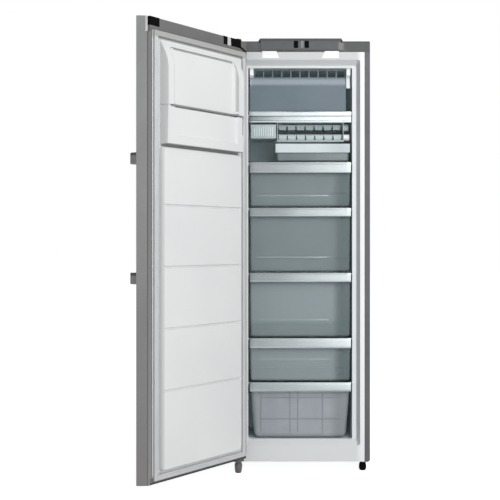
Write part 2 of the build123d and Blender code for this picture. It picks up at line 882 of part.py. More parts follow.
def freezer_flap():
    """Translucent cover of the top compartment: air slots on top, a bend, then the flat face."""
    y_top = flap_axis[0] + 1
    y_low = y_top - 20
    bend = flap_top - 31
    outline = polygon(
        (y_top, flap_top), (y_top, bend), (y_low, bend - 35), (y_low, flap_bottom),
        (y_low + flap_wall, flap_bottom), (y_low + flap_wall, bend - 36.5),
        (y_top + flap_wall, bend - 1.5), (y_top + flap_wall, flap_top),
    )
    flap = carry_across(outline, -flap_half - flap_left_reach, flap_half)
    flap = flap - block(-hollow_half, -flap_half, y_top - 5, y_top + 5, bend - 1, flap_top + 1)
    pitch = 2 * flap_half / flap_slot_count
    for slot in range(flap_slot_count):
        x0 = -flap_half + slot * pitch + flap_bar / 2
        x1 = x0 + pitch - flap_bar
        flap = flap - block(x0, x1, y_top - 1, y_top + 5, bend + 0.5, bend + 0.5 + flap_slot_height)
    grip = block(-60, 60, y_low - 4, y_low + 0.5, flap_bottom, flap_bottom + 4)
    ear = rod_x(flap_half - 4, flap_half, *flap_axis, 6)
    pin = rod_x(flap_half, flap_half + 13, *flap_axis, flap_pin)
    return flap + grip + ear + pin + mirrored(ear) + mirrored(pin)


def flap_clips():
    """White hinge clips that hang from the ceiling and hold the flap's pins."""
    y, z = flap_axis
    outline = polygon(
        (y - 16, hollow_top - fit_gap), (y + 20, hollow_top - fit_gap), (y + 14, z - 17), (y + 8, z - 40),
        (y - 1, z - 72), (y - 5, z - 72), (y - 0.5, z - 40), (y + 6, z - 22.5), (y - 14, z - 17),
    )
    clip = carry_across(outline, flap_half + 4, flap_half + 20)
    bore = rod_x(flap_half, flap_half + 15, y, z, flap_pin + running_gap)
    clip = clip - bore
    return clip + mirrored(clip)


def tub(half_top, taper, corner, x, y0, y1, z0, z1, wall):
    """Open-topped box with tapered sides and rounded lower edges."""
    outer = trough(half_top, taper, corner, x, z0, z1)
    inner = trough(half_top - wall, taper, corner - wall / 2, x, z0 + wall, z1 + 5)
    return carry_back(outer, y0, y1) - carry_back(inner, y0 + wall, y1 - wall)


def trough(half_top, taper, corner, x, z0, z1):
    """Front view of a tub: wider at the rim than at the floor."""
    outline = polygon(
        (x - half_top, z1), (x - half_top + taper, z0), (x + half_top - taper, z0), (x + half_top, z1)
    )
    return fillet(outline.vertices().sort_by(Axis.Y)[:2], corner)


def drawer_span(number):
    """Floor level and rim level of a drawer, from the shelf below it to the strip above it."""
    rim = strip_tops[number] - 6
    if number + 1 < len(strip_tops):
        floor = strip_tops[number + 1] + glass_thickness / 2 + fit_gap
    else:
        floor = hollow_bottom + 3 + fit_gap
    return floor, rim


def is_basket(number):
    """The lowest drawer is a shallower basket in front of the compressor's step."""
    return number == len(strip_tops) - 1


def drawer_tub(number):
    """Translucent drawer: tub, stiffening creases across the front and a ledge along the back."""
    floor, rim = drawer_span(number)
    if is_basket(number):
        return basket_tub(number, floor, rim)
    body = tub(drawer_half, drawer_taper, drawer_corner, 0, drawer_front, drawer_back, floor, rim, drawer_wall)
    reach = drawer_half - drawer_taper - drawer_corner
    crease = rod_x(-reach, reach, drawer_front, floor + 58, 2)
    ledge_top = floor + ledge_rises[number]
    ledge_back = drawer_back - drawer_wall
    ledge = block(-184, 175, ledge_back - 4, ledge_back + 1, ledge_top - 3, ledge_top)
    return body + crease + (ledge & trough_core(floor))


def trough_core(floor):
    """Space between the sides of a drawer, where the ledge may run."""
    reach = drawer_half - drawer_taper - drawer_wall
    return block(-reach, reach, 0, cabinet_depth, floor, floor + 100)


def basket_tub(number, floor, rim):
    """The lowest drawer, with strongly tapered sides and a grid of creases on its front."""
    body = tub(drawer_half, basket_taper, basket_corner, 0, drawer_front, basket_back, floor, rim, drawer_wall)
    reach = drawer_half - basket_taper - basket_corner
    for rise in (82, 174):
        body = body + rod_x(-reach, reach, drawer_front, floor + rise, 2)
    for x in (-reach + 2, -44, -10, 96):
        rib_top = strip_tops[number] - strip_heights[number] - 3
        body = body + rod_z(x, drawer_front, floor + 20, rib_top, 2)
    return body


def drawer_travel_of(number):
    """How far a drawer pulls out."""
    return basket_travel if is_basket(number) else drawer_travel


def drawer_strip(number):
    """Satin strip along a drawer's top edge: it leans out to give the fingers room behind it."""
    z1 = strip_tops[number]
    z0 = z1 - strip_heights[number]
    rim = drawer_span(number)[1]
    back = drawer_front - fit_gap
    t = strip_sheet
    blade = polygon(
        (back, z1 - 3), (back - 4, z1), (strip_face + 5, z1 - 2), (strip_face, z0 + 6), (strip_face + 1, z0),
        (strip_face + 4, z0), (strip_face + t + 1.5, z0 + 7), (strip_face + t + 5, z1 - 5), (back - t, rim - 1),
        (back - t, z0 + 4), (back, z0 + 4),
    )
    return carry_across(blade, -strip_half, strip_half)


# Ice maker

def ice_frame():
    """Frame hung under the top shelf: top plate, cheeks for the twist trays and rails for the box."""
    top = shelf_levels()[0] - fit_gap
    side = box_left - 2.3
    frame = block(side, ice_right, 58, box_back, top - web, top)
    for x in (ice_left, ice_right - web):
        frame = frame + block(x, x + web, ice_front, ice_back, 1416, top)
    frame = frame + block(side, side + 2, 58, box_back, box_rim - 6, top)
    frame = frame + block(side, box_left + 3, 58, box_back, box_rim - 6, box_rim - 4)
    frame = frame + block(box_right - 3, ice_left + 1, 58, ice_back - 4, box_rim - 6, box_rim - 4)
    frame = frame + block(ice_left, ice_right, ice_front, ice_front + 2, 1497, 1503)
    frame = frame + block(ice_left, ice_right, ice_front, ice_front + 2, 1416, 1424)
    frame = frame + block(ice_left + 1, ice_right - 1, ice_back - web - 1, ice_back - 1, 1417, 1450)
    trim_room = block(side - 1, ice_right + 1, 0, 57, top - 2.6, top + 1)
    frame = frame - trim_room
    for y, z in tray_axes:
        frame = frame - rod_x(ice_left - 9, ice_right + 1, y, z, tray_pin + running_gap)
    return frame


def ice_tray(number):
    """Twist tray with a row of tapered cells, journals at both ends and a stop tab."""
    y, z = tray_axes[number]
    x0, x1 = ice_left + web + 1, ice_right - web - 1
    low, high = z - tray_height / 2, z + tray_height / 2
    tray = block(x0, x1, y - tray_half_depth, y + tray_half_depth, high - 2, high)
    pitch = (x1 - x0 - 4) / tray_cells
    for cell in range(tray_cells):
        middle = x0 + 2 + pitch * (cell + 0.5)
        wide = pitch / 2 - 1.2
        deep = tray_half_depth - 2.5
        cup = Pos(middle, y, high - 1) * extrude(Rectangle(2 * wide, 2 * deep), amount=-(tray_height - 1), taper=9)
        tray = tray + cup
    for cell in range(tray_cells):
        middle = x0 + 2 + pitch * (cell + 0.5)
        wide = pitch / 2 - 1.2 - tray_wall
        deep = tray_half_depth - 2.5 - tray_wall
        hollow = Pos(middle, y, high + 0.01) * extrude(
            Rectangle(2 * wide, 2 * deep), amount=-(tray_height - tray_wall), taper=9
        )
        tray = tray - hollow
    for xa, xb in ((ice_left - 1.5, x0 + 1), (x1 - 1, ice_right + 2)):
        tray = tray + rod_x(xa, xb, y, z, tray_pin)
    for edge in (x0, x1 - 2):
        tray = tray + block(edge, edge + 2, y - 8, y + 8, z - 8, high)
    return tray


def tray_knob(number):
    """Fluted white knob on the end of a twist tray."""
    y, z = tray_axes[number]
    x0 = ice_right + 0.8
    knob = rod_x(x0, x0 + knob_length, y, z, knob_radius)
    knob = chamfer(knob.edges().filter_by(GeomType.CIRCLE), 1.2)
    for flute in range(10):
        angle = 2 * pi * flute / 10
        reach = knob_radius + 1.6
        knob = knob - rod_x(x0 + 6, x0 + knob_length + 1, y + reach * cos(angle), z + reach * sin(angle), 3)
    return knob - rod_x(x0 - 1, ice_right + 2, y, z, tray_pin)


def ice_bin():
    """Bin under the trays, open at the top, with a slot in its front wall for the strip's tongue."""
    x = (ice_bin_left + ice_bin_right) / 2
    half = (ice_bin_right - ice_bin_left) / 2
    floor = strip_tops[0] + glass_thickness / 2 + fit_gap
    return tub(half - 2, 4, 8, x, 36, ice_bin_back, floor, ice_bin_rim, 2.2)


def ice_bin_strip():
    """Pale strip on the bin's front: hollow behind, with an open lower edge as its grip."""
    low = ice_bin_rim - ice_strip_height
    back = 36 - fit_gap
    strip = front_prism(ice_bin_left, ice_bin_right, low, ice_bin_rim, 2, 30, back)
    hollow = block(ice_bin_left + 6, ice_bin_right - 6, 32, back + 1, low - 1, ice_bin_rim - 6)
    return strip - hollow


def slide_box():
    """White box that slides on the rails at the left of the trays, with a rim and fine front ribs."""
    x = (box_left + box_right) / 2
    half = (box_right - box_left) / 2
    body = tub(half - 4.5, 2, 6, x, 34, box_back, box_bottom, box_rim, 1.8)
    rim = block(box_left, box_right, 34, box_back, box_rim - 4 + fit_gap, box_rim)
    rim = rim - block(box_left + 6.3, box_right - 6.3, 35.8, box_back - 1.8, box_rim - 10, box_rim + 1)
    body = body + rim
    face = front_prism(box_left, box_right, box_bottom, box_rim, 3, 31.5, 34)
    body = body + face
    for step in range(9):
        rib_x = box_left + 16 + step * 9.6
        body = body + block(rib_x, rib_x + 2, 30.7, 31.6, box_bottom + 10, box_rim - 10)
    return body


# Door, drawn closed

def door_envelope():
    """Side view of the closed door carried across: both ends slope down towards the cabinet."""
    outline = polygon(
        (door_outer, door_bottom), (door_outer + end_flat, door_bottom), (door_inner, door_bottom + end_slope),
        (door_inner, door_top - end_slope), (door_outer + end_flat, door_top), (door_outer, door_top),
    )
    return carry_across(outline, -half_width, half_width)


def hinge_room():
    """Both hinge corners of the door are cut back for the brackets."""
    far = pin_x + hinge_clear
    top = block(-half_width - 1, far, door_outer - 1, 1, block_top, door_top + 1)
    bottom = block(-half_width - 1, far + 10, door_outer - 1, 1, door_bottom - 1, inner_bottom)
    return top + bottom


def door_skin():
    """Bent outer sheet: front, both sides with a stepped-in inner edge, and return hems."""
    step = door_inner - 14
    half = half_width
    t = sheet
    outline = polygon(
        (-half, door_outer), (half, door_outer), (half, step), (half - 2.2, step), (half - 2.2, door_inner),
        (half - 12, door_inner), (half - 12, door_inner - t), (half - 2.2 - t, door_inner - t),
        (half - 2.2 - t, step - t), (half - t, step - t), (half - t, door_outer + t),
        (-half + t, door_outer + t), (-half + t, step - t), (-half + 2.2 + t, step - t),
        (-half + 2.2 + t, door_inner - t), (-half + 12, door_inner - t), (-half + 12, door_inner),
        (-half + 2.2, door_inner), (-half + 2.2, step), (-half, step),
    )
    inner = outline.vertices().filter_by(lambda corner: abs(corner.Y - door_outer - t) < 0.01)
    outline = fillet(inner, door_corner - t)
    outer = outline.vertices().filter_by(lambda corner: corner.Y < door_outer + 0.01)
    outline = fillet(outer, door_corner)
    skin = Pos(0, 0, door_bottom) * extrude(outline, amount=door_top - door_bottom)
    notch = end_notch(0)
    low_notch = block(-half - 1, half + 1, door_inner - t - 0.1, 1, 0, bottom_cap_top)
    return (skin & door_envelope()) - hinge_room() - notch - mirrored(notch) - low_notch


def end_notch(gap):
    """Room in the skin's side for the end of the top cap and its black block."""
    return block(
        half_width - 20, half_width + 1, door_inner - 24 + gap, door_inner + 2, top_cap_bottom - 7 + gap, door_top + 1
    )


def cap_blank(z0, z1):
    """Solid that fills the skin's end between two levels, before a cap is shaped from it."""
    half = half_width - sheet - fit_gap
    blank = block(-half, half, door_outer + sheet + fit_gap, door_inner, z0, z1)
    corners = blank.edges().filter_by(Axis.Z).group_by(Axis.Y)[0]
    return fillet(corners, door_corner - sheet) & door_envelope()


def top_cap():
    """Moulded top end cap, hollow from below, with seats for the black blocks and a tab at each end."""
    half = half_width - sheet - fit_gap
    cap = cap_blank(top_cap_bottom, door_top)
    cap = chamfer(cap.edges().filter_by(Axis.X).group_by(Axis.Y)[-1].sort_by(Axis.Z)[-1:], 5.5, 4.5)
    side_step = block(half - 2.2, half + 1, door_inner - 14 - fit_gap - sheet, 0, 0, door_top + 1)
    cap = cap - side_step - mirrored(side_step)
    tab = end_notch(fit_gap) & block(half - 8, half_width, -200, door_inner, 0, door_top) & door_envelope()
    tab = tab - block(0, half_width - 12, -200, 0, 0, top_cap_bottom)
    cap = cap + tab + mirrored(tab)
    room = block(-half + 34, half - 34, door_outer + 6, door_inner - 22, top_cap_bottom - 1, door_top - 24)
    cap = cap - room - hinge_room()
    for x0, x1, deep in block_spans():
        cap = cap - hinge_seat(x0 - fit_gap, x1 + fit_gap, deep + fit_gap, fit_gap)
    return cap - bearing_block(fit_gap, door_top + 1) - block_tail(fit_gap)


def block_spans():
    """Black blocks along the top cap, (start, end, depth): two at the hinge end, one at the other end."""
    return [(pin_x + 14, pin_x + 81, 51), (pin_x + 104, pin_x + 130, 30), (half_width - 53, half_width, 12)]


def hinge_seat(x0, x1, deep, gap):
    """Pocket for a black block in the inner face of the top cap."""
    return block(x0, x1, door_inner - deep, door_inner + 1, block_top - block_height - gap, door_top + 1)


def bearing_block(gap, top):
    """Part of the first block around the pin, behind a wall of the cap."""
    x0, x1 = -half_width + 7 - gap, pin_x + 15
    return block(x0, x1, pin_y - 17 - gap, pin_y + 26 + gap, block_top - block_height - gap, top)


def block_tail(gap):
    """Sloping tail of the first block, let into the cap's face towards the hinge edge."""
    low = block_top - block_height
    edge = -half_width + 6 - gap
    tail = polygon(
        (pin_x + 22, low + 10 + gap), (pin_x + 22, low - gap), (edge, low - 13 - gap), (edge, low - 5 + gap)
    )
    return carry_back(tail, door_inner - 4 - gap, door_inner + (1 if gap else 0.8))


def hinge_blocks():
    """Black blocks in the top cap; the first carries the bore for the top pin and a sloping tail."""
    blocks = bearing_block(0, block_top) + block_tail(0)
    for x0, x1, deep in block_spans():
        piece = block(x0, x1, door_inner - deep, door_inner + 0.8, block_top - block_height, block_top)
        blocks = blocks + chamfer(piece.edges().group_by(Axis.Y)[-1], 1)
    return blocks - rod_z(pin_x, pin_y, block_top - block_height - 1, block_top + 1, pin_radius + running_gap)


def bottom_cap():
    """Moulded bottom end cap with the bore for the bottom pin and a dark lower lip."""
    half = half_width - sheet - fit_gap
    cap = cap_blank(door_bottom, bottom_cap_top)
    toe = block(-half - 1, half + 1, door_inner - 8, door_inner + 1, 0, inner_bottom)
    side_step = block(half - 2.2, half + 1, door_inner - 14 - fit_gap - sheet, 0, 0, bottom_cap_top + 1)
    room = block(pin_x + 60, half - 20, door_outer + 6, door_inner - 12, 0, bottom_cap_top - 5)
    bore = rod_z(pin_x, pin_y, 0, inner_bottom + 17, pin_radius + running_gap)
    return cap - toe - side_step - mirrored(side_step) - room - bore - hinge_room()


def dike_space(grow=0.0):
    """Raised panel of the door liner, with drafted sides."""
    y0, y1 = door_inner - 0.01, door_inner + dike_height + grow
    foot = front_rectangle(
        -dike_half - grow, dike_half + grow, dike_bottom - grow, dike_top + grow, 16 + grow, y0
    )
    crown = front_rectangle(
        -dike_half - grow + dike_draft,
        dike_half + grow - dike_draft,
        dike_bottom - grow + dike_draft,
        dike_top + grow - dike_draft,
        16 + grow,
        y1,
    )
    return loft([foot, crown])


def groove_space(level, grow):
    """Cross groove in the raised panel, grown by a wall."""
    crown = door_inner + dike_height
    top = groove_width / 2 + grow
    floor = groove_width / 4 + grow
    outline = polygon(
        (crown + 1, level - top), (crown, level - top), (crown - groove_depth - grow, level - floor),
        (crown - groove_depth - grow, level + floor), (crown, level + top), (crown + 1, level + top),
    )
    reach = dike_half - 10 + grow
    return carry_across(outline, -reach, reach)


def recess_space(grow=0.0):
    """Recess in the door liner behind the covered compartment."""
    return front_prism(
        -recess_half - grow,
        recess_half + grow,
        recess_bottom - grow,
        recess_top + grow,
        12 + grow,
        door_inner - recess_depth - grow,
        door_inner + dike_height + 5,
    )


def door_liner():
    """White door liner: flat rim, raised grooved panel, and the recess of the compartment."""
    plate = block(
        -half_width + 12 + fit_gap,
        half_width - 12 - fit_gap,
        door_inner - liner_wall,
        door_inner,
        bottom_cap_top + fit_gap,
        top_cap_bottom - fit_gap,
    )
    liner = plate + dike_space()
    inside = Pos(0, -liner_wall, 0) * dike_space(-liner_wall)
    for level in groove_levels:
        inside = inside - groove_space(level, liner_wall)
        liner = liner - groove_space(level, 0)
    liner = liner - inside
    basin = front_prism(
        -recess_half - liner_wall,
        recess_half + liner_wall,
        recess_bottom - liner_wall,
        recess_top + liner_wall,
        12 + liner_wall,
        door_inner - recess_depth - liner_wall,
        door_inner,
    )
    return liner + basin - recess_space()


def door_foam():
    """Insulation inside the door."""
    half = half_width - sheet - 2.2 - fit_gap
    body = block(
        -half,
        half,
        door_outer + sheet + fit_gap,
        door_inner - liner_wall - fit_gap,
        bottom_cap_top + fit_gap,
        top_cap_bottom - 7 - fit_gap,
    )
    panel = Pos(0, -liner_wall - fit_gap, 0) * dike_space(-liner_wall - fit_gap)
    for level in groove_levels:
        panel = panel - groove_space(level, liner_wall + fit_gap)
    return body + panel - recess_space(liner_wall + fit_gap)


def door_gasket():
    """Magnetic seal: four mitred sides in one ring, with a bellows waist and a broad lip."""
    ring = gasket_ring(0, door_inner, door_inner + 3)
    waist = gasket_ring(6, door_inner + 3, door_inner + 7)
    lip = gasket_ring(0, door_inner + 7, door_inner + gasket_height)
    return ring + waist + lip


def gasket_ring(inset, y0, y1):
    """One layer of the seal, drawn in from both edges by an inset."""
    low, high, half = gasket_bottom + inset, gasket_top - inset, gasket_half - inset
    width = gasket_width - 2 * inset
    outer = front_prism(-half, half, low, high, 12, y0, y1)
    inner = front_prism(
        -half + width, half - width, low + width, high - width, 4, y0 - 1, y1 + 1
    )
    return outer - inner


def pocket_outline(wall):
    """Side view of the door compartment, drawn in by a wall: sloping hood, straight face, underside."""
    base = door_inner + fit_gap
    foot = base - 1 if wall else base
    crown = door_inner + pocket_height - wall
    low, high = pocket_bottom + wall, pocket_top - 1.4 * wall
    shoulder = (crown, pocket_shoulder)
    return make_face(
        [
            Line((foot, low), (crown - 4, low)),
            Line((crown - 4, low), (crown, pocket_seam)),
            Line((crown, pocket_seam), shoulder),
            Spline(shoulder, (crown - 8, high - 56), (foot, high), tangents=((0, 1), (-19, 36))),
            Line((foot, high), (foot, low)),
        ]
    )


def pocket_body(half, wall):
    """Solid of the compartment's outline with drafted cheeks."""
    body = carry_across(pocket_outline(wall), -half, half)
    middle = (pocket_top + pocket_bottom) / 2
    ends = []
    for depth, reach in ((-1, half), (pocket_height + 1, half - pocket_draft)):
        plane = Plane(origin=(0, door_inner + depth, middle), x_dir=(1, 0, 0), z_dir=(0, -1, 0))
        ends.append(plane * Rectangle(2 * reach, 900))
    return body & loft(ends)


def flap_recess(extra=0.0):
    """Space in front of the flap's dished face; the face leans back at the top to follow the hood."""
    width, depth = flap_dish
    crown = door_inner + pocket_height
    low, high = pocket_seam - 20, pocket_top + 20
    slopes = polygon(
        (-door_flap_half + 1 - width / depth, crown + 1),
        (-door_flap_half + 1 + width, crown - depth),
        (door_flap_half - 1 - width, crown - depth),
        (door_flap_half - 1 + width / depth, crown + 1),
    )
    across = Pos(0, 0, low) * extrude(slopes, amount=high - low)
    lean = polygon(
        (crown + 5, low), (crown - depth - 1, low), (crown - depth, pocket_seam), (crown - depth, pocket_top - 55),
        (door_inner + 10.5, door_flap_top - 2), (door_inner + 3, pocket_top), (crown + 5, pocket_top),
    )
    return Pos(0, -extra, 0) * (across & carry_across(lean, -door_flap_half, door_flap_half))


def panel_recess(extra=0.0):
    """Space in front of the dished panel below the seam, sloping at its sides and lower edge."""
    width, depth = panel_dish
    crown = door_inner + pocket_height
    low, high = pocket_bottom + 30, pocket_seam + 10
    faces = []
    for y, drawn_in in ((crown + 2, -2 * width / depth), (crown - depth, width)):
        half = door_flap_half - 2 - drawn_in
        floor_level = low + drawn_in
        outline = Pos(0, (floor_level + high) / 2) * Rectangle(2 * half, high - floor_level)
        faces.append(front_plane(y) * outline)
    return Pos(0, -extra, 0) * loft(faces)


def door_flap_axis():
    """Axis of the compartment's flap, (y, z) with the door closed."""
    return door_inner + 13.2, door_flap_top - 10.5


def door_flap_front(grow):
    """Front view of the flap or of its window, with rounded upper corners."""
    half = door_flap_half + grow
    low = pocket_seam - (seam_gap if grow else 0)
    high = door_flap_top + 2.5 * grow
    outline = Pos(0, (low + high) / 2) * Rectangle(2 * half, high - low)
    corners = outline.vertices().sort_by(Axis.Y)[-2:]
    return carry_back(fillet(corners, door_flap_corner), door_inner - 5, 60)


def pocket_bush(side):
    """Round boss beside the hood's window for the flap's pin."""
    y, z = door_flap_axis()
    x0, x1 = sorted((side * (door_flap_half + 1), side * (door_flap_half + 9)))
    return rod_x(x0, x1, y, z, door_flap_pin + 3) & pocket_body(pocket_half, 0)


def seam_band(low, high):
    """Slab between two levels measured from the compartment's seam."""
    return block(-300, 300, -100, 100, pocket_seam + low, pocket_seam + high)


def seam_pad():
    """Thicker wall behind the seam beside the flap, deep enough for the groove."""
    ring = pocket_body(pocket_half - 8, 2) - pocket_body(pocket_half - 20, 9)
    middle = block(-door_flap_half - 1.6, door_flap_half + 1.6, -100, 100, 0, cabinet_height)
    return (ring & seam_band(-seam_gap - 5, 5)) - middle


def door_pocket():
    """Moulded compartment on the door: cheeks, hood, floor and a dished front wall below the seam."""
    crown = door_inner + pocket_height
    solid = pocket_body(pocket_half, 0) - panel_recess()
    hollow = pocket_body(pocket_half - 10, pocket_wall) - panel_recess(pocket_wall + 0.3)
    pocket = (solid - hollow) + seam_pad()
    groove = seam_band(-seam_gap, 0) & (pocket_body(pocket_half + 1, -2) - pocket_body(pocket_half - 4, 4))
    slot = block(-pocket_half + 11, -pocket_half + 20, crown - 10, crown + 1, pocket_seam - 80, pocket_seam - 4)
    back = block(-300, 300, -100, door_inner + fit_gap, 1000, pocket_top + 300)
    pocket = pocket - door_flap_front(1) - groove - slot - back
    pocket = pocket + (pocket_bush(-1) + pocket_bush(1) - back)
    y, z = door_flap_axis()
    return pocket - rod_x(-door_flap_half - 9.5, door_flap_half + 9.5, y, z, door_flap_pin + running_gap)


def door_flap():
    """Lift-up cover of the door compartment, dished, following the hood, with a lip at its lower edge."""
    crown = door_inner + pocket_height
    face = crown - flap_dish[1]
    half = door_flap_half
    shell = carry_across(pocket_outline(0), -half, half)
    inside = carry_across(pocket_outline(pocket_wall), -half - 1, half + 1)
    front = door_flap_front(0)
    room = block(-half, half, door_inner + 1, 60, pocket_seam, door_flap_top)
    flap = ((shell - flap_recess()) - (inside - flap_recess(pocket_wall + 0.3))) & front & room
    lip = block(-70, 70, face - 2.4, face + 2, pocket_seam, pocket_seam + 3)
    y, z = door_flap_axis()
    arm = carry_across(
        polygon((y - 3, z - 6), (y - 3, z + 3), (y + 6, z + 3), (y + 26, z - 76), (y + 20, z - 80), (y + 4, z - 30)),
        half - 3,
        half,
    )
    under_hood = carry_across(pocket_outline(pocket_wall + 0.6), -half, half)
    arm = (arm & shell & front) + (arm & under_hood)
    pin = rod_x(half - 3, half + 8, y, z, door_flap_pin)
    arm = arm + pin
    return flap + lip + arm + mirrored(arm)


# Handle

def handle_brackets():
    """Two cast brackets at the opening edge that carry the bar."""
    edge = half_width - bracket_inset
    y0 = door_outer
    y1 = door_outer - handle_proud
    bar_edge = edge - bracket_width - 18
    outline = polygon(
        (edge, y0), (edge, y0 - 12), (edge - 3, y1 + 7), (edge - 9, y1), (bar_edge, y1),
        (bar_edge, y1 + bar_thickness), (edge - 30, y1 + bar_thickness), (edge - 34, y0 - 8), (edge - 40, y0),
    )
    pair = None
    for level in handle_levels:
        piece = Pos(0, 0, level - bracket_height / 2) * extrude(outline, amount=bracket_height)
        outer = piece.edges().filter_by(lambda e: e.center().X > edge - 12).group_by(Axis.Z)
        piece = chamfer(outer[0] + outer[-1], 2.5)
        pair = piece if pair is None else pair + piece
    return pair


def handle_bar():
    """Long flat bar with rounded edges, past the brackets at both ends."""
    edge = half_width - bracket_inset - bracket_width - 18
    y1 = door_outer - handle_proud
    reach = bracket_height / 2 + bar_overhang
    low, high = handle_levels[0] - reach, handle_levels[1] + reach
    section = Pos(edge - bar_width / 2, y1 + bar_thickness / 2) * RectangleRounded(bar_width, bar_thickness, 4.5)
    bar = Pos(0, 0, low) * extrude(section, amount=high - low)
    return chamfer(bar.edges().group_by(Axis.Z)[0] + bar.edges().group_by(Axis.Z)[-1], 1.5)


# Placing

def swing_open(piece):
    """Turn a closed-door piece about the hinge pins to the open pose."""
    hinge = Location((pin_x, pin_y, 0))
    return hinge * Rot(0, 0, -door_open) * hinge.inverse() * piece


def swung(x, y):
    """Where a point of the closed door lies once the door is open."""
    turn = radians(door_open)
    s, n = x - pin_x, y - pin_y
    return pin_x + s * cos(turn) + n * sin(turn), pin_y - s * sin(turn) + n * cos(turn)


def floor_middle():
    """Middle of the floor space taken by the cabinet and its open door."""
    left = swung(half_width - bracket_inset, door_outer - handle_proud)[0]
    front = swung(half_width, door_inner)[1]
    right, back = half_width, cabinet_depth + 14
    return (left + right) / 2, (front + back) / 2


def cabinet_nodes():
    """Pieces that stay with the cabinet or slide and turn in it."""
    nodes = {
        "cabinet_wrap": cabinet_wrap(),
        "inner_liner": inner_liner(),
        "cabinet_foam": cabinet_foam(),
        "base_pan": base_pan(),
        "back_panel": back_panel(),
        "header_fascia": header_fascia(),
        "header_cover": header_cover(),
        "header_pads": header_pads(),
        "power_button": push_button(button_places()[0]),
        "fast_freeze_button": push_button(button_places()[1]),
        "control_display": control_display(),
        "top_hinge_bracket": top_hinge_bracket(),
        "hinge_cover": hinge_cover(),
        "bottom_hinge_bracket": bottom_hinge_bracket(),
        "hinge_pins": hinge_pins(),
        "front_feet": front_feet(),
        "rear_feet": rear_feet(),
        "machine_tray": machine_tray(),
        "compressor": compressor(),
        "relay_cover": relay_cover(),
        "drip_tray": drip_tray(),
        "refrigerant_pipes": refrigerant_pipes(),
        "mains_inlet": mains_inlet(),
        "duct_cover": duct_cover(),
        "fan_motor": fan_motor(),
        "fan_wheel": fan_wheel(),
        "evaporator_coil": evaporator_coil(),
        "glass_shelves": glass_shelves(),
        "top_shelf_trim": top_shelf_trim(),
        "freezer_flap": freezer_flap(),
        "flap_clips": flap_clips(),
        "ice_frame": ice_frame(),
        "lower_ice_tray": ice_tray(0),
        "upper_ice_tray": ice_tray(1),
        "lower_tray_knob": tray_knob(0),
        "upper_tray_knob": tray_knob(1),
        "ice_bin": ice_bin(),
        "ice_bin_strip": ice_bin_strip(),
        "slide_box": slide_box(),
    }
    for number in range(len(strip_tops)):
        nodes[f"drawer_{number + 1}"] = drawer_tub(number)
        nodes[f"drawer_strip_{number + 1}"] = drawer_strip(number)
    return nodes


def door_nodes():
    """Pieces of the door, drawn closed."""
    return {
        "door_skin": door_skin(),
        "door_top_cap": top_cap(),
        "door_bottom_cap": bottom_cap(),
        "hinge_blocks": hinge_blocks(),
        "door_liner": door_liner(),
        "door_foam": door_foam(),
        "door_gasket": door_gasket(),
        "door_pocket": door_pocket(),
        "door_flap": door_flap(),
        "handle_brackets": handle_brackets(),
        "handle_bar": handle_bar(),
    }


def main():
    os.makedirs("parts", exist_ok=True)
    middle_x, middle_y = floor_middle()
    place = Location((-middle_x, -middle_y, 0))
    nodes = cabinet_nodes()
    for name, piece in door_nodes().items():
        nodes[name] = swing_open(piece)
    for name, piece in nodes.items():
        export_step(place * piece, f"parts/{name}.step")
    print(f"{len(nodes)} pieces, hinge pins at {pin_x - middle_x:.3f}, {pin_y - middle_y:.3f}")


if __name__ == "__main__":
    main()
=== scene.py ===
import json
import math

import bmesh
import bpy
import numpy as np
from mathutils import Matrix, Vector


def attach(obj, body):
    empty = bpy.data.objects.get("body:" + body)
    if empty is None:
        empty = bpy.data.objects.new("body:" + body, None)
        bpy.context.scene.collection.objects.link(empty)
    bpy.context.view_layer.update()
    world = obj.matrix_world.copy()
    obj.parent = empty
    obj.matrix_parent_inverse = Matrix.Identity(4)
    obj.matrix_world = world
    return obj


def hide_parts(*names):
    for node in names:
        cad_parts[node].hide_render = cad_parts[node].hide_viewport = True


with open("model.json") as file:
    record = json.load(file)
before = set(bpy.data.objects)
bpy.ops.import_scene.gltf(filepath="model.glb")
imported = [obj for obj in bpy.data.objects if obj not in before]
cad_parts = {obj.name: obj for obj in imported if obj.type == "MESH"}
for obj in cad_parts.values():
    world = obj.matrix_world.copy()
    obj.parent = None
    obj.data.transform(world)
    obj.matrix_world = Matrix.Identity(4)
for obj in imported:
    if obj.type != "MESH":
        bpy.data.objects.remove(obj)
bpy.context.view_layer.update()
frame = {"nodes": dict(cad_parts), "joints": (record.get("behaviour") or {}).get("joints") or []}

# The camera that the photograph was taken with, found from the cabinet's edges: it stands level,
# looks straight into the cabinet, and the picture's middle lies a little below its axis.
CAMERA_PLACE = (-0.0244, -4.2229, 0.9696)
FOCAL_PIXELS = 976.0
PICTURE_PIXELS = 500.0
AXIS_ROW = 245.15
SENSOR_MM = 36.0

# Along the open door, X runs in millimetres from the hinge pins to the handle edge and Y from the
# pins towards the inside. DOOR_TURN is how far the door stands open.
DOOR_TURN = math.radians(127.35)
HINGE = [joint for joint in frame["joints"] if joint["name"] == "door_hinge"][0]["pos_m"]
LINER_FACE = 34.0
PIN_TO_MIDDLE = 273.0
PIN_TO_FRONT = 46.0

# Millimetres, from the top drawer down: where a strip's top lies, how high the strip is, and how far the
# ledge at a drawer's back lies over its floor. The lowest drawer, the basket, has no ledge.
DRAWER_TOPS = (1329, 1132, 852, 571, 381)
STRIP_HEIGHTS = (48, 39, 41, 45, 41)
LEDGE_RISES = (71, 60, 45, 49)

# Levels of the cross grooves in the door's liner, from the lowest up.
GROOVE_LEVELS = (414, 650, 886, 1122)

# Top of the door's upper cap, and the seam under the door compartment's flap.
CAP_TOP = 1841.0
SEAM = 1505.0

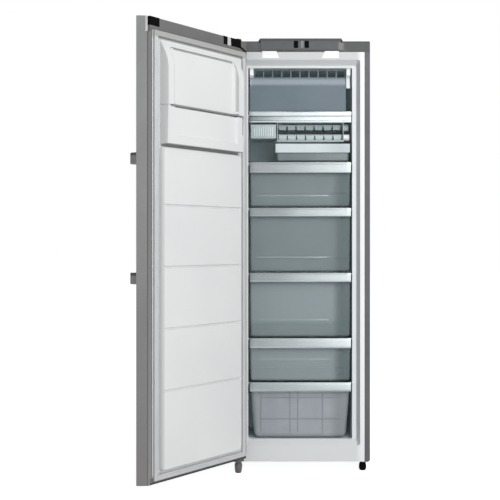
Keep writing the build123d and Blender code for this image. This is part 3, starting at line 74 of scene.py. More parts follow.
# Millimetres that the drawers share: their half width, front, backs and wall, how far a rim lies under
# the strip's top and a floor over the strip below it, the basket's own floor, and how deep the root and
# the face of their raised creases lie.
DRAWER_HALF = 217
DRAWER_FRONT = 30
DRAWER_BACK = 440
BASKET_BACK = 308
DRAWER_WALL = 2.4
RIM_DROP = 6
FLOOR_RISE = 2.3
BASKET_FLOOR = 138.3
CREASE_ROOT = 32
CREASE_FACE = 28.2

# How strongly the floor glows where it is seen, and the surroundings' level where they give light.
FLOOR_GLOW = 0.8
ROOM_LEVEL = 0.33


def in_cabinet(right, depth, level):
    """Points in metres from millimetres right of the cabinet's middle, behind its front and up."""
    right, depth, level = np.broadcast_arrays(right, depth, level)
    return np.stack([HINGE[0] + (right + PIN_TO_MIDDLE) / 1000, HINGE[1] + (depth + PIN_TO_FRONT) / 1000,
                     level / 1000], axis=-1)


def on_door(along, inward, level):
    """Points of the open door in metres from millimetres along it, inward from the pins and up:
    hinge + along * (cos t, -sin t) + inward * (sin t, cos t), with t the door's turn."""
    along, inward, level = np.broadcast_arrays(along, inward, level)
    cos, sin = math.cos(DOOR_TURN), math.sin(DOOR_TURN)
    x = along * cos + inward * sin
    y = -along * sin + inward * cos
    return np.stack([HINGE[0] + x / 1000, HINGE[1] + y / 1000, level / 1000], axis=-1)


# Colours and nodes

def paint(code):
    """Linear colour of an sRGB hex code: c / 12.92 up to 0.04045, else ((c + 0.055) / 1.055) ** 2.4."""
    channels = [int(code[i:i + 2], 16) / 255 for i in (1, 3, 5)]
    linear = [c / 12.92 if c <= 0.04045 else ((c + 0.055) / 1.055) ** 2.4 for c in channels]
    return (*linear, 1.0)


def add(tree, kind, values=None, links=None, **settings):
    """One node in a tree, with its settings, its input values and the outputs it reads."""
    node = tree.nodes.new(kind)
    for name, value in settings.items():
        setattr(node, name, value)
    for name, value in (values or {}).items():
        node.inputs[name].default_value = value
    for name, output in (links or {}).items():
        tree.links.new(output, node.inputs[name])
    return node


def new_tree(name):
    """A new material and its emptied node tree."""
    material = bpy.data.materials.new(name)
    material.use_nodes = True
    material.node_tree.nodes.clear()
    return material, material.node_tree


def door_axes(tree, place):
    """Object coordinates turned into the door's own: along it, inward and up, in metres from the pins."""
    cos, sin = math.cos(DOOR_TURN), math.sin(DOOR_TURN)
    shift = (-(cos * HINGE[0] - sin * HINGE[1]), -(sin * HINGE[0] + cos * HINGE[1]), 0.0)
    turned = add(tree, "ShaderNodeMapping", {"Rotation": (0, 0, DOOR_TURN), "Location": shift},
                 {"Vector": place})
    return turned.outputs["Vector"]


def zone(tree, place, spans):
    """Share of an area given by a span of millimetres along each named axis: 1 inside it, 0 outside, and
    3t^2 - 2t^3 across its soft edge, whose half width may follow the span."""
    axes = add(tree, "ShaderNodeSeparateXYZ", None, {"Vector": place})
    share = None
    for axis, (low, high, *edge) in spans.items():
        soft = (edge or [0.3])[0] / 1000
        middle, reach = (low + high) / 2000, (high - low) / 2000
        offset = add(tree, "ShaderNodeMath", {1: middle}, {0: axes.outputs[axis]}, operation="SUBTRACT")
        away = add(tree, "ShaderNodeMath", None, {0: offset.outputs[0]}, operation="ABSOLUTE")
        hit = add(tree, "ShaderNodeMapRange", {"From Min": reach + soft, "From Max": reach - soft},
                  {"Value": away.outputs[0]}, interpolation_type="SMOOTHSTEP").outputs["Result"]
        if share is not None:
            hit = add(tree, "ShaderNodeMath", None, {0: share, 1: hit}, operation="MULTIPLY").outputs[0]
        share = hit
    return share


def laid_over(tree, base, colour, share):
    """One colour laid over another by a share between 0 and 1."""
    mix = add(tree, "ShaderNodeMix", None, {"Factor": share}, data_type="RGBA")
    for socket, source in ((mix.inputs[6], base), (mix.inputs[7], colour)):
        if isinstance(source, str):
            socket.default_value = paint(source)
        else:
            tree.links.new(source, socket)
    return mix.outputs[2]


def noise(tree, place, size, detail, rough, **values):
    """Noise of a size in millimetres."""
    values.update({"Scale": 1000 / size, "Detail": detail, "Roughness": rough})
    return add(tree, "ShaderNodeTexNoise", values, {"Vector": place}).outputs["Fac"]


def spread(tree, value, low=0.3, high=0.7, new_low=0.0, new_high=1.0):
    """A value's span from low to high, taken to new_low to new_high."""
    values = {"From Min": low, "From Max": high, "To Min": new_low, "To Max": new_high}
    return add(tree, "ShaderNodeMapRange", values, {"Value": value}).outputs["Result"]


FINISHES = {}


def finish(name, pale, deep, rough, cloud=80.0, smudge=30.0, relief=(), stretch=(1, 1, 1), marks=None,
           zones=(), on=None, **sockets):
    """Material of one made surface, kept under its name.

    pale and deep are the two colours that a slow noise of size `cloud` mm blends, rough is the range
    that a noise of size `smudge` mm moves roughness over, and relief lists (size mm, depth mm) of the
    noises that raise the surface. stretch draws the fine noises out along an axis. marks is
    (size mm, share, colour) of a sharper noise laid over the base, and zones lists (spans, colour) of
    areas in another colour; `on` turns the coordinates to the door's.
    """
    material, tree = new_tree(name)
    place = add(tree, "ShaderNodeTexCoord").outputs["Object"]
    if on == "door":
        place = door_axes(tree, place)
    fine = add(tree, "ShaderNodeMapping", {"Scale": stretch}, {"Vector": place}).outputs["Vector"]
    base = laid_over(tree, pale, deep, spread(tree, noise(tree, place, cloud, detail=4.0, rough=0.55)))
    if marks:
        size, amount, mark = marks
        specks = noise(tree, fine, size, detail=6.0, rough=0.7, Distortion=0.4)
        base = laid_over(tree, base, mark, spread(tree, specks, low=0.56, high=0.74, new_high=amount))
    for spans, colour in zones:
        base = laid_over(tree, base, colour, zone(tree, place, spans))
    touch = noise(tree, fine, smudge, detail=5.0, rough=0.6)
    links = {"Base Color": base, "Roughness": spread(tree, touch, new_low=rough[0], new_high=rough[1])}
    for size, depth in relief:
        grain = noise(tree, fine, size, detail=3.0, rough=0.5)
        bump = add(tree, "ShaderNodeBump", {"Distance": depth / 1000}, {"Height": grain})
        if "Normal" in links:
            tree.links.new(links["Normal"], bump.inputs["Normal"])
        links["Normal"] = bump.outputs["Normal"]
    shader = add(tree, "ShaderNodeBsdfPrincipled", sockets, links)
    add(tree, "ShaderNodeOutputMaterial", None, {"Surface": shader.outputs["BSDF"]})
    FINISHES[name] = material


# Materials

# Brushed stainless steel sheet: long upright scratches and soft streaks, darker towards the floor and on
# the stepped return along its inner edge, where the sheet turns away from the light.
finish("brushed_stainless", "#a2a2a2", "#959596", (0.3, 0.44), cloud=260, smudge=1.6,
       relief=((0.9, 0.012),), stretch=(1, 1, 0.012), on="door", Metallic=0.7,
       zones=(({"Z": (-788, 788, 1012)}, "#787676"), ({"Y": (18.5, 36)}, "#878686")))
# Silver powder coat on folded steel: fine orange peel, seen dark along the folded front edge.
finish("silver_coat", "#5a5a5d", "#525255", (0.4, 0.52), cloud=220, smudge=40,
       relief=((1.2, 0.02), (6, 0.03)), Metallic=0.3)
# Vacuum-formed white polystyrene: soft sheen and slow waviness from the mould. Painted shade makes it
# greyer on the front frame and in the throat, most on the throat's right slope; a painted highlight lies on
# the right neck face and a painted cold shade in the hollow.
finish("white_liner", "#f4f4f4", "#eeefef", (0.34, 0.46), cloud=320, smudge=60,
       relief=((1.5, 0.01), (40, 0.12)), IOR=1.59,
       zones=(({"X": (-140, 440, 14), "Y": (-60, -16, 2)}, "#dadbdb"),
              ({"X": (433.6, 447.4), "Y": (-41.4, -17.9)}, "#b6b6ba"),
              ({"X": (-140, 440, 14), "Y": (-60, -38), "Z": (1764, 1800, 2)}, "#cbcccc"),
              ({"X": (414, 435), "Y": (-17.8, -16)}, "#e7e8eb"), ({"Y": (-12, 600, 4)}, "#dfecef")))
# The same sheet on the door, with painted shade at its free edge and along its top, and painted shadow
# lines in the compartment's seam and under the compartment.
finish("door_liner", "#e6e6e6", "#dfe0e0", (0.34, 0.46), cloud=400, smudge=60,
       relief=((1.5, 0.01), (50, 0.15)), IOR=1.59, on="door",
       zones=(({"X": (506, 580, 5)}, "#cccccc"), ({"Z": (1752, 1790, 3)}, "#b2b1b0"),
              ({"X": (34, 492), "Z": (SEAM - 8, SEAM + 1, 1.5)}, "#8c8c8c"),
              ({"X": (34, 508), "Z": (1346, 1357, 2)}, "#a2a2a2")))
# The compartment's flap, of the same sheet, with painted shadow lines where its edges meet the frame and a
# painted shade band near its hinge-side edge.
finish("door_flap", "#e6e6e6", "#dfe0e0", (0.34, 0.46), cloud=400, smudge=60,
       relief=((1.5, 0.01), (50, 0.15)), IOR=1.59, on="door",
       zones=(({"Z": (SEAM, SEAM + 7, 1.5)}, "#8c8c8c"),
              ({"X": (90, 456), "Z": (1719, 1729, 1.5)}, "#9e9e9e"),
              ({"X": (70, 82, 2), "Z": (1520, 1715)}, "#b8b8b8")))
# White plastic of the air duct, in the cold shade of the compartment.
finish("cool_white", "#e9f6f9", "#dfeef2", (0.34, 0.46), cloud=200, smudge=40, relief=((1.5, 0.01),),
       IOR=1.53)
# Injection-moulded white plastic: finer sheen than the formed sheet.
finish("white_moulding", "#ffffff", "#fafbfb", (0.28, 0.4), cloud=150, smudge=40,
       relief=((0.8, 0.008),), IOR=1.53)
# Foamed polyurethane: open pores, uneven yellow, and grey where it shows over the back panel.
finish("insulation", "#e6d9ac", "#d9c98f", (0.8, 0.95), cloud=40, smudge=8,
       relief=((1.0, 0.2), (6, 0.5)), zones=(({"Y": (500, 600), "Z": (1770, 1860)}, "#6f7173"),))
# Hot-dip galvanised sheet: large pale spangles.
finish("galvanised", "#a6abae", "#8e9498", (0.35, 0.55), cloud=14, smudge=12, relief=((9, 0.02),),
       Metallic=0.9)
# Painted rear sheet: matt grey with faint handling marks.
finish("grey_coat", "#8d9092", "#828587", (0.45, 0.6), cloud=200, smudge=60, relief=((1.0, 0.02),),
       marks=(9, 0.2, "#a3a6a8"), Metallic=0.2)
# Spark-textured ABS of the header, with painted shade along the centre cover's top and at both ends of the
# fascia, and a painted highlight at the cover's right end.
finish("header_grey", "#535354", "#4a4a4c", (0.42, 0.55), cloud=120, smudge=30, relief=((0.7, 0.03),),
       IOR=1.5,
       zones=(({"Z": (1843, 1860, 1.5)}, "#3c3c3d"), ({"X": (-112, -40, 12)}, "#3f3f40"),
              ({"X": (354, 376, 6), "Z": (1805, 1838, 4)}, "#7b7b79"),
              ({"X": (386, 500, 6)}, "#474748")))
# Grey plastic caps of the door: paler near both ends, painted shade along the upper cap's top edge and its
# lower edge, and a black lip below.
finish("cap_grey", "#6b6b6a", "#626261", (0.42, 0.54), cloud=140, smudge=30, relief=((0.8, 0.02),),
       on="door", IOR=1.5,
       zones=(({"X": (60, 560), "Z": (CAP_TOP - 16, CAP_TOP - 9)}, "#5f5f5e"),
              ({"Z": (CAP_TOP - 60, CAP_TOP - 53)}, "#626261"),
              ({"X": (81, 104), "Y": (20, 40), "Z": (CAP_TOP - 44, CAP_TOP)}, "#c4c4c3"),
              ({"X": (566, 580), "Y": (10, 23), "Z": (CAP_TOP - 66, CAP_TOP - 8)}, "#f2f2f2"),
              ({"Z": (50, 76, 1)}, "#242323")))
# Black moulded plastic: deep colour, faint sheen.
finish("black_moulding", "#0a0a0b", "#060607", (0.42, 0.55), cloud=60, smudge=20, relief=((0.6, 0.03),),
       IOR=1.45, **{"Specular IOR Level": 0.04})
# Bare steel of the hinges: bright, a little blurred by rolling.
finish("hinge_steel", "#a4a2a0", "#8f8d8b", (0.3, 0.45), cloud=30, smudge=10, relief=((0.8, 0.02),),
       Metallic=0.95)
# Grey coated steel of the hinge leg and its foot.
finish("foot_grey", "#6b6968", "#575554", (0.4, 0.55), cloud=30, smudge=12, relief=((0.8, 0.03),),
       Metallic=0.4)
# Black enamel of the compressor: deep gloss.
finish("compressor_enamel", "#191a1b", "#101112", (0.25, 0.4), cloud=60, smudge=20,
       relief=((1.5, 0.03),), IOR=1.5)
# Copper pipe, browned in patches.
finish("copper", "#c27a50", "#8f5236", (0.25, 0.5), cloud=20, smudge=8, relief=((2, 0.02),),
       Metallic=1.0)
# Bare aluminium of the coil's fins.
finish("coil_aluminium", "#c3c7ca", "#adb2b6", (0.3, 0.45), cloud=20, smudge=8, relief=((1, 0.02),),
       Metallic=0.95)
# Toughened glass: clear, green in its thickness.
finish("glass", "#dcebe6", "#d3e4de", (0.02, 0.06), cloud=200, smudge=80, relief=(), IOR=1.52,
       **{"Transmission Weight": 1.0})
# Moulded blue-grey transparent polystyrene, with a little flow mottling. Painted light makes it paler in the
# third and fourth drawers, apart from the foot of the third, and painted shade darker towards the right.
finish("clear_drawer", "#a7b4b6", "#9dabae", (0.24, 0.34), cloud=160, smudge=40, relief=((30, 0.1),),
       marks=(24, 0.07, "#b4bfc1"), IOR=1.57, Alpha=0.42,
       zones=(({"Z": (300, 820, 80)}, "#b6c3c6"), ({"Z": (560, 640, 24)}, "#a6b2b5"),
              ({"X": (345, 420, 22)}, "#889598")), **{"Specular IOR Level": 0.15})
# The ledge along a drawer's back: its near-white mirror finish is a painted highlight along the ledge,
# throwing the room's light straight back.
finish("ledge_highlight", "#eef4f4", "#e2eaea", (0.08, 0.14), cloud=160, smudge=40, relief=((30, 0.05),),
       Metallic=0.9)
# The basket's plastic is milkier than the drawers', with painted shade towards its right, and its creases
# carry a painted grey shade.
finish("clear_basket", "#c0c5ca", "#b4bac0", (0.24, 0.36), cloud=120, smudge=40, relief=((20, 0.1),),
       marks=(20, 0.1, "#cdd2d6"), IOR=1.57, Alpha=0.6, zones=(({"X": (335, 420, 24)}, "#a6abb0"),),
       **{"Specular IOR Level": 0.2})
finish("basket_crease", "#8b9096", "#82878d", (0.3, 0.4), cloud=120, smudge=40, relief=((20, 0.05),),
       IOR=1.57)
# Smoky blue polystyrene of the top flap, with a painted highlight along its upper bend.
finish("smoked_flap", "#84919a", "#7b8891", (0.16, 0.26), cloud=200, smudge=60, relief=((40, 0.1),),
       IOR=1.57, Alpha=0.66, zones=(({"Z": (1662, 1690, 9)}, "#b3bec7"),),
       **{"Specular IOR Level": 0.2})
# Satin metallised strip: fine lines drawn along it, and a soft mirror of the room, with painted shade at the
# left of the second and third.
finish("satin_strip", "#979d9f", "#8f9597", (0.2, 0.26), cloud=120, smudge=1.2, relief=((0.8, 0.004),),
       stretch=(0.012, 1, 1), Metallic=0.9,
       zones=(({"X": (-40, 150, 60), "Z": (800, 1140, 2)}, "#8a9092"),))
# The top shelf's trim: paler than the strips, with painted shade towards its left, deepest in its groove.
finish("shelf_trim", "#c1c8ca", "#b8bfc2", (0.22, 0.3), cloud=120, smudge=1.2, relief=((0.8, 0.004),),
       stretch=(0.012, 1, 1), Metallic=0.8,
       zones=(({"X": (-160, 60, 50)}, "#b3babc"),
              ({"X": (-160, 60, 150), "Z": (1505.5, 1527, 1)}, "#727b7f")))
# Pale satin plastic across the ice bin's front, with painted shade towards its right.
finish("bin_strip", "#d3dddf", "#c9d4d6", (0.3, 0.4), cloud=120, smudge=30, relief=((1.2, 0.01),),
       IOR=1.53, zones=(({"X": (320, 430, 70)}, "#bac5c8"),))
# Smoky grey polystyrene of the ice bin, and the white box beside it, its colour a painted cold shade of
# milky blue-white.
finish("bin_plastic", "#7f8b8d", "#768284", (0.2, 0.3), cloud=60, smudge=30, relief=((20, 0.05),),
       IOR=1.57, Alpha=0.8)
finish("box_white", "#adbbbe", "#a4b2b5", (0.24, 0.36), cloud=60, smudge=20, relief=((1.5, 0.01),),
       IOR=1.53)
# Milky plastic of the twist trays, and the darker frame that holds them.
finish("ice_tray", "#c6d4d7", "#bccacd", (0.22, 0.36), cloud=30, smudge=20, relief=((2, 0.02),),
       IOR=1.5)
finish("tray_frame", "#a2aeb0", "#97a3a6", (0.22, 0.36), cloud=30, smudge=20, relief=((2, 0.02),),
       IOR=1.5)
# Soft PVC of the seal: matt, slightly grey, with painted shade along the top and at its root.
finish("seal", "#cbcbcd", "#c3c3c6", (0.5, 0.64), cloud=80, smudge=20, relief=((0.8, 0.02),), IOR=1.5,
       on="door", zones=(({"Z": (1756, 1790, 3)}, "#acacaa"), ({"Y": (30, 39.5, 1.5)}, "#b4b2b1")))
# Brushed aluminium of the handle's bar.
finish("handle", "#a8a8a8", "#989899", (0.28, 0.42), cloud=120, smudge=1.2, relief=((0.8, 0.01),),
       stretch=(1, 1, 0.012), Metallic=0.85)
# Cast zinc of the handle's brackets: satin grey, with painted shade on the outer face and along the top.
finish("bracket", "#7c7a7a", "#706e6e", (0.35, 0.5), cloud=40, smudge=10, relief=((0.8, 0.02),),
       on="door", Metallic=0.6,
       zones=(({"Y": (-95, -78, 3)}, "#4b494a"), ({"Z": (1313, 1330, 4)}, "#3f3d3e"),
              ({"Z": (853, 870, 4)}, "#3f3d3e")))
# Glossy grey window between the two buttons.
finish("display", "#8d8f90", "#7f8182", (0.12, 0.2), cloud=30, smudge=10, relief=((1, 0.004),),
       IOR=1.49)

NODE_FINISH = {
    "cabinet_wrap": "silver_coat", "inner_liner": "white_liner", "cabinet_foam": "insulation",
    "base_pan": "galvanised", "back_panel": "grey_coat", "header_fascia": "header_grey",
    "header_cover": "header_grey", "header_pads": "white_moulding", "power_button": "black_moulding",
    "fast_freeze_button": "black_moulding", "control_display": "display", "top_hinge_bracket": "hinge_steel",
    "hinge_cover": "black_moulding", "bottom_hinge_bracket": "foot_grey", "hinge_pins": "hinge_steel",
    "front_feet": "black_moulding", "rear_feet": "black_moulding", "machine_tray": "galvanised",
    "compressor": "compressor_enamel", "relay_cover": "black_moulding", "drip_tray": "black_moulding",
    "refrigerant_pipes": "copper", "mains_inlet": "black_moulding", "duct_cover": "cool_white",
    "fan_motor": "black_moulding", "fan_wheel": "white_moulding", "evaporator_coil": "coil_aluminium",
    "glass_shelves": "glass", "top_shelf_trim": "satin_strip", "freezer_flap": "smoked_flap",
    "flap_clips": "white_moulding", "ice_frame": "tray_frame", "lower_ice_tray": "ice_tray",
    "upper_ice_tray": "ice_tray", "lower_tray_knob": "white_moulding", "upper_tray_knob": "white_moulding",
    "ice_bin": "clear_drawer", "ice_bin_strip": "bin_strip", "slide_box": "white_moulding",
    "drawer_1": "clear_drawer", "drawer_2": "clear_drawer", "drawer_3": "clear_drawer",
    "drawer_4": "clear_drawer", "drawer_5": "clear_basket", "drawer_strip_1": "satin_strip",
    "drawer_strip_2": "satin_strip", "drawer_strip_3": "satin_strip", "drawer_strip_4": "satin_strip",
    "drawer_strip_5": "satin_strip", "door_skin": "brushed_stainless", "door_top_cap": "cap_grey",
    "door_bottom_cap": "cap_grey", "hinge_blocks": "black_moulding", "door_liner": "door_liner",
    "door_foam": "insulation", "door_gasket": "seal", "door_pocket": "door_liner",
    "door_flap": "door_flap", "handle_brackets": "bracket", "handle_bar": "handle",
}

for node_name, finish_name in NODE_FINISH.items():
    cad_node = frame["nodes"][node_name]
    cad_node.data.materials.clear()
    cad_node.data.materials.append(FINISHES[finish_name])


# Pieces

def rounded(corners, radius, steps=5):
    """Closed outline with eased corners: round a corner p it is (1 - t)^2 a + 2t(1 - t) p + t^2 b, where
    a and b lie on the two sides at the radius or, if that is less, 0.45 of the shorter side."""
    p = np.asarray(corners, float)
    back, on = np.roll(p, 1, axis=0) - p, np.roll(p, -1, axis=0) - p
    back_length, on_length = np.linalg.norm(back, axis=1), np.linalg.norm(on, axis=1)
    reach = np.minimum(radius, 0.45 * np.minimum(back_length, on_length))
    a = (p + back * (reach / back_length)[:, None])[:, None]
    b = (p + on * (reach / on_length)[:, None])[:, None]
    t = np.linspace(0, 1, steps)[None, :, None]
    return ((1 - t) ** 2 * a + 2 * t * (1 - t) * p[:, None] + t ** 2 * b).reshape(-1, 2)


def drawn_in(outline, inset):
    """Copies of a closed outline moved inwards: p - inset * n, with n at right angles to the line
    between the neighbours of p and pointing out of the outline."""
    side = np.roll(outline, -1, axis=0) - np.roll(outline, 1, axis=0)
    normal = np.stack([side[:, 1], -side[:, 0]], axis=-1)
    normal /= np.linalg.norm(normal, axis=1, keepdims=True) + 1e-9
    after = np.roll(outline, -1, axis=0)
    turn = np.sign(np.sum(outline[:, 0] * after[:, 1] - outline[:, 1] * after[:, 0]))
    return outline - np.asarray(inset)[:, None, None] * normal * turn


def carried(outline, start, end, edge, runs=10):
    """Outline carried from start to end, with rounded ends: at the way w from an end it is drawn in by
    edge * (1 - sin a), with w = edge * (1 - cos a). Gives the ways and the outlines there."""
    a = np.linspace(0, np.pi / 2, 5)
    end_ways, inset = edge * (1 - np.cos(a)), edge * (1 - np.sin(a))
    middle = np.linspace(start + edge, end - edge, runs)[1:-1]
    ways = np.concatenate([start + end_ways, middle, end - end_ways[::-1]])
    insets = np.concatenate([inset, np.zeros(len(middle)), inset[::-1]])
    return ways[:, None], drawn_in(outline, insets)


def grid_faces(rows, columns, wrap_rows=False, wrap_columns=True):
    """Quads of a grid of points, joined round where it wraps."""
    row = np.arange(rows if wrap_rows else rows - 1)[:, None]
    column = np.arange(columns if wrap_columns else columns - 1)[None, :]
    next_row, next_column = (row + 1) % rows, (column + 1) % columns
    corners = (row * columns + column, row * columns + next_column,
               next_row * columns + next_column, next_row * columns + column)
    quads = np.stack([np.broadcast_to(c, (row.size, column.size)) for c in corners], axis=-1)
    return quads.reshape(-1, 4).tolist()


def shell(points):
    """Closed shell over a grid of rings: quads between the rings and a flat end on the first and last."""
    rows, columns = points.shape[:2]
    ends = [list(range(columns)), list(range((rows - 1) * columns, rows * columns))]
    return points.reshape(-1, 3), grid_faces(rows, columns) + ends


def along_x(outline, start, end, edge, runs=10):
    """Shell of a (depth, height) outline carried across the cabinet."""
    ways, rings = carried(outline, start, end, edge, runs)
    return shell(in_cabinet(ways, rings[..., 0], rings[..., 1]))


def along_y(outline, start, end, edge, runs=4):
    """Shell of a (right, height) outline carried into the cabinet."""
    ways, rings = carried(outline, start, end, edge, runs)
    return shell(in_cabinet(rings[..., 0], ways, rings[..., 1]))


def along_z(outline, start, end, edge, runs=10):
    """Shell of a (right, depth) outline carried up."""
    ways, rings = carried(outline, start, end, edge, runs)
    return shell(in_cabinet(rings[..., 0], rings[..., 1], ways))


def ridge(middle, reach, root=CREASE_ROOT, face=CREASE_FACE, top=1.0, radius=1.0):
    """Eased (depth, place) outline of a raised line: `reach` to each side at its root, `top` at its
    face."""
    return rounded([(root, middle - reach), (face, middle - top), (face, middle + top),
                    (root, middle + reach)], radius)


def make_piece(name, shells, finish_name, body, nodes, sharp=35.0, wall=0.0):
    """Joins shells in one mesh, turns its faces outwards and lets it stand for its CAD nodes; an open
    sheet gets its wall behind the side that is seen."""
    points, faces, count = [], [], 0
    for shell_points, shell_faces in shells:
        points.append(shell_points)
        faces += [[corner + count for corner in face] for face in shell_faces]
        count += len(shell_points)
    mesh = bpy.data.meshes.new(name)
    mesh.from_pydata(np.concatenate(points).tolist(), [], faces)
    if not wall:
        merged = bmesh.new()
        merged.from_mesh(mesh)
        bmesh.ops.recalc_face_normals(merged, faces=merged.faces)
        merged.to_mesh(mesh)
        merged.free()
    mesh.shade_smooth()
    mesh.set_sharp_from_angle(angle=math.radians(sharp))
    mesh.materials.append(FINISHES[finish_name])
    piece = bpy.data.objects.new(name, mesh)
    bpy.context.scene.collection.objects.link(piece)
    if wall:
        sheet = piece.modifiers.new("wall", "SOLIDIFY")
        sheet.thickness = wall / 1000
        sheet.offset = -1.0
        sheet.use_even_offset = True
    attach(piece, body)
    if nodes:
        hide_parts(*nodes)
    return piece


def smooth_loop(points, count):
    """Closed curve through points: each stretch is the cubic 0.5 * (2b + (c - a)t + (2a - 5b + 4c - d)t^2
    + (3b - a - 3c + d)t^3) of its four neighbours a, b, c, d."""
    points = np.asarray(points, float)
    at = np.linspace(0, len(points), count, endpoint=False)
    index = at.astype(int)
    t = (at - index)[:, None]
    a, b, c, d = (np.roll(points, shift, axis=0)[index] for shift in (1, 0, -1, -2))
    return 0.5 * (2 * b + (c - a) * t + (2 * a - 5 * b + 4 * c - d) * t ** 2
                  + (3 * b - a - 3 * c + d) * t ** 3)


def drawer_levels(number):
    """Floor and rim of a drawer."""
    floor = DRAWER_TOPS[number + 1] + FLOOR_RISE if number < 4 else BASKET_FLOOR
    return floor, DRAWER_TOPS[number] - RIM_DROP


def drawer_strip(number):
    """Satin strip along a drawer's top edge: its leaning blade is an eased outline carried across."""
    top, height = DRAWER_TOPS[number], STRIP_HEIGHTS[number]
    low, back, rim = top - height, 29.7, top - RIM_DROP
    outline = rounded([
        (back, top - 3), (back - 4, top), (19, top - 1.6), (15.6, top - 0.3 * height), (14, low + 7),
        (14.6, low), (18, low), (17.5, low + 7), (19.5, top - 6), (back - 2, rim - 1), (back - 2, low + 4),
        (back, low + 4),
    ], radius=2.2)
    half = DRAWER_HALF + 1
    blade = along_x(outline, start=-half, end=half, edge=0.7, runs=24)
    make_piece(f"drawer_{number + 1}_strip", [blade], "satin_strip", f"drawer_{number + 1}",
               [f"drawer_strip_{number + 1}"], sharp=60)


def plan_rings(half, front, back, radius, steps=7):
    """Rounded rectangles seen from above, one for each row: round a corner's centre, which lies at
    half - r and front + r or back - r, the points r * (cos a, sin a) of that corner's quarter turn."""
    sizes = np.broadcast_arrays(half, front, back, radius)
    half, front, back, radius = (np.asarray(size, float)[:, None] for size in sizes)
    a = np.linspace(0, np.pi / 2, steps)[None, :] + np.pi / 2 * np.arange(4)[:, None]
    right = np.repeat([1, -1, -1, 1], steps)
    deep = np.repeat([1, 1, -1, -1], steps)
    x = right * (half - radius) + radius * np.cos(a.ravel())
    y = (front + back) / 2 + deep * ((back - front) / 2 - radius) + radius * np.sin(a.ravel())
    return x, y


def tub(middle, half, taper, front, back, floor, rim, corner, foot, wall):
    """Shell of an open tub. Its rings go up the outside, over the rim and down the inside: at height z
    the half width is half - taper * (rim - z) / (rim - floor), and in the foot's quarter turn a
    the ring is drawn in by foot * (1 - sin a) at z = floor + foot * (1 - cos a)."""
    a = np.linspace(0, np.pi / 2, 7)
    outside_in, outside_z = foot * (1 - np.sin(a)), floor + foot * (1 - np.cos(a))
    inner = foot - wall
    inside_in, inside_z = wall + inner * (1 - np.sin(a)), floor + wall + inner * (1 - np.cos(a))
    lip_in, lip_z = wall / 2 * (1 - np.cos(2 * a)), rim - wall / 2 + wall / 2 * np.sin(2 * a)
    inset = np.concatenate([outside_in, lip_in, inside_in[::-1]])
    z = np.concatenate([outside_z, lip_z, inside_z[::-1]])
    x, y = plan_rings(half - taper * (rim - z) / (rim - floor) - inset, front + inset, back - inset,
                      np.maximum(corner - 0.5 * inset, 2.0))
    return shell(in_cabinet(middle + x, y, z[:, None]))


def drawer(number):
    """Translucent drawer: a tub with a crease across its front and a ledge along its back."""
    floor, rim = drawer_levels(number)
    body = f"drawer_{number + 1}"
    box = tub(0, DRAWER_HALF, taper=3, front=DRAWER_FRONT, back=DRAWER_BACK, floor=floor, rim=rim,
              corner=8, foot=12, wall=DRAWER_WALL)
    crease = along_x(ridge(middle=floor + 58, reach=2), start=-200, end=200, edge=1.0)
    make_piece(f"{body}_tub", [box, crease], "clear_drawer", body, [body])
    level, near_side, far_side = floor + LEDGE_RISES[number], 428.0, 438.4
    outline = rounded([(near_side, level + 2), (far_side, level + 2), (far_side, level - 5),
                       (near_side, level - 5)], radius=0.8)
    ledge = along_x(outline, start=-184, end=175, edge=1.0)
    make_piece(f"{body}_ledge", [ledge], "ledge_highlight", body, [body])


def basket():
    """Lowest drawer: a strongly tapered tub with a lattice of creases on its front."""
    floor, rim = drawer_levels(4)
    box = tub(0, DRAWER_HALF, taper=20, front=DRAWER_FRONT, back=BASKET_BACK, floor=floor, rim=rim,
              corner=20, foot=24, wall=DRAWER_WALL)
    make_piece("basket_tub", [box], "clear_basket", "drawer_5", ["drawer_5"])
    reach, cross_rises, upright_places = 2.4, (82, 174), (-169, -44, -10, 96)
    creases = [along_x(ridge(floor + rise, reach), start=-176, end=176, edge=1.0) for rise in cross_rises]
    creases += [along_z(ridge(place, reach)[:, ::-1], start=floor + 24, end=336, edge=1.0)
                for place in upright_places]
    make_piece("basket_creases", creases, "basket_crease", "drawer_5", ["drawer_5"])


def ice_parts():
    """Bin under the twist trays with its pale strip, and the ribbed slide box beside it."""
    bin_tub = tub(middle=54.7, half=158.6, taper=4, front=36.3, back=240, floor=1331.3, rim=1408,
                  corner=9, foot=8, wall=2.2)
    make_piece("ice_bin_tub", [bin_tub], "bin_plastic", "ice_bin", ["ice_bin"])
    outline = rounded([
        (35.6, 1402), (35.6, 1407), (33.5, 1408), (31, 1406.5), (30, 1402), (30, 1376), (30.6, 1369),
        (32.3, 1369.2), (32, 1376), (32, 1402),
    ], radius=1.6)
    strip = along_x(outline, start=-106.6, end=214.8, edge=0.9)
    make_piece("bin_front_strip", [strip], "bin_strip", "ice_bin", ["ice_bin_strip"],
               sharp=60)
    left, right, low, high = -213.0, -104.5, 1430.0, 1490.0
    middle, half = (left + right) / 2, (right - left) / 2
    face = rounded([(left, low), (right, low), (right, high), (left, high)], radius=5.0)
    rim_foot, rim_side = high - 3.7, left + 6.3
    rim = rounded([(left, rim_foot), (rim_side, rim_foot), (rim_side, high), (left, high)], radius=1.2)
    other_rim = np.stack([2 * middle - rim[:, 0], rim[:, 1]], axis=-1)
    box = tub(middle, half - 4.5, taper=2, front=33.8, back=200, floor=low, rim=high - 0.4, corner=7,
              foot=6, wall=1.8)
    shells = [box, along_y(face, start=31.5, end=34.2, edge=0.8)]
    shells += [along_y(outline, start=34, end=199, edge=1.0) for outline in (rim, other_rim)]
    make_piece("slide_box_tub", shells, "box_white", "slide_box", ["slide_box"])
    first, pitch, count = left + 17, 9.6, 9
    ribs = [ridge(first + step * pitch, reach=1.2, root=31.8, face=30.75, top=0.5, radius=0.5)[:, ::-1]
            for step in range(count)]
    shells = [along_z(rib, start=low + 10, end=high - 10, edge=1.0) for rib in ribs]
    make_piece("slide_box_ribs", shells, "white_moulding", "slide_box", ["slide_box"])


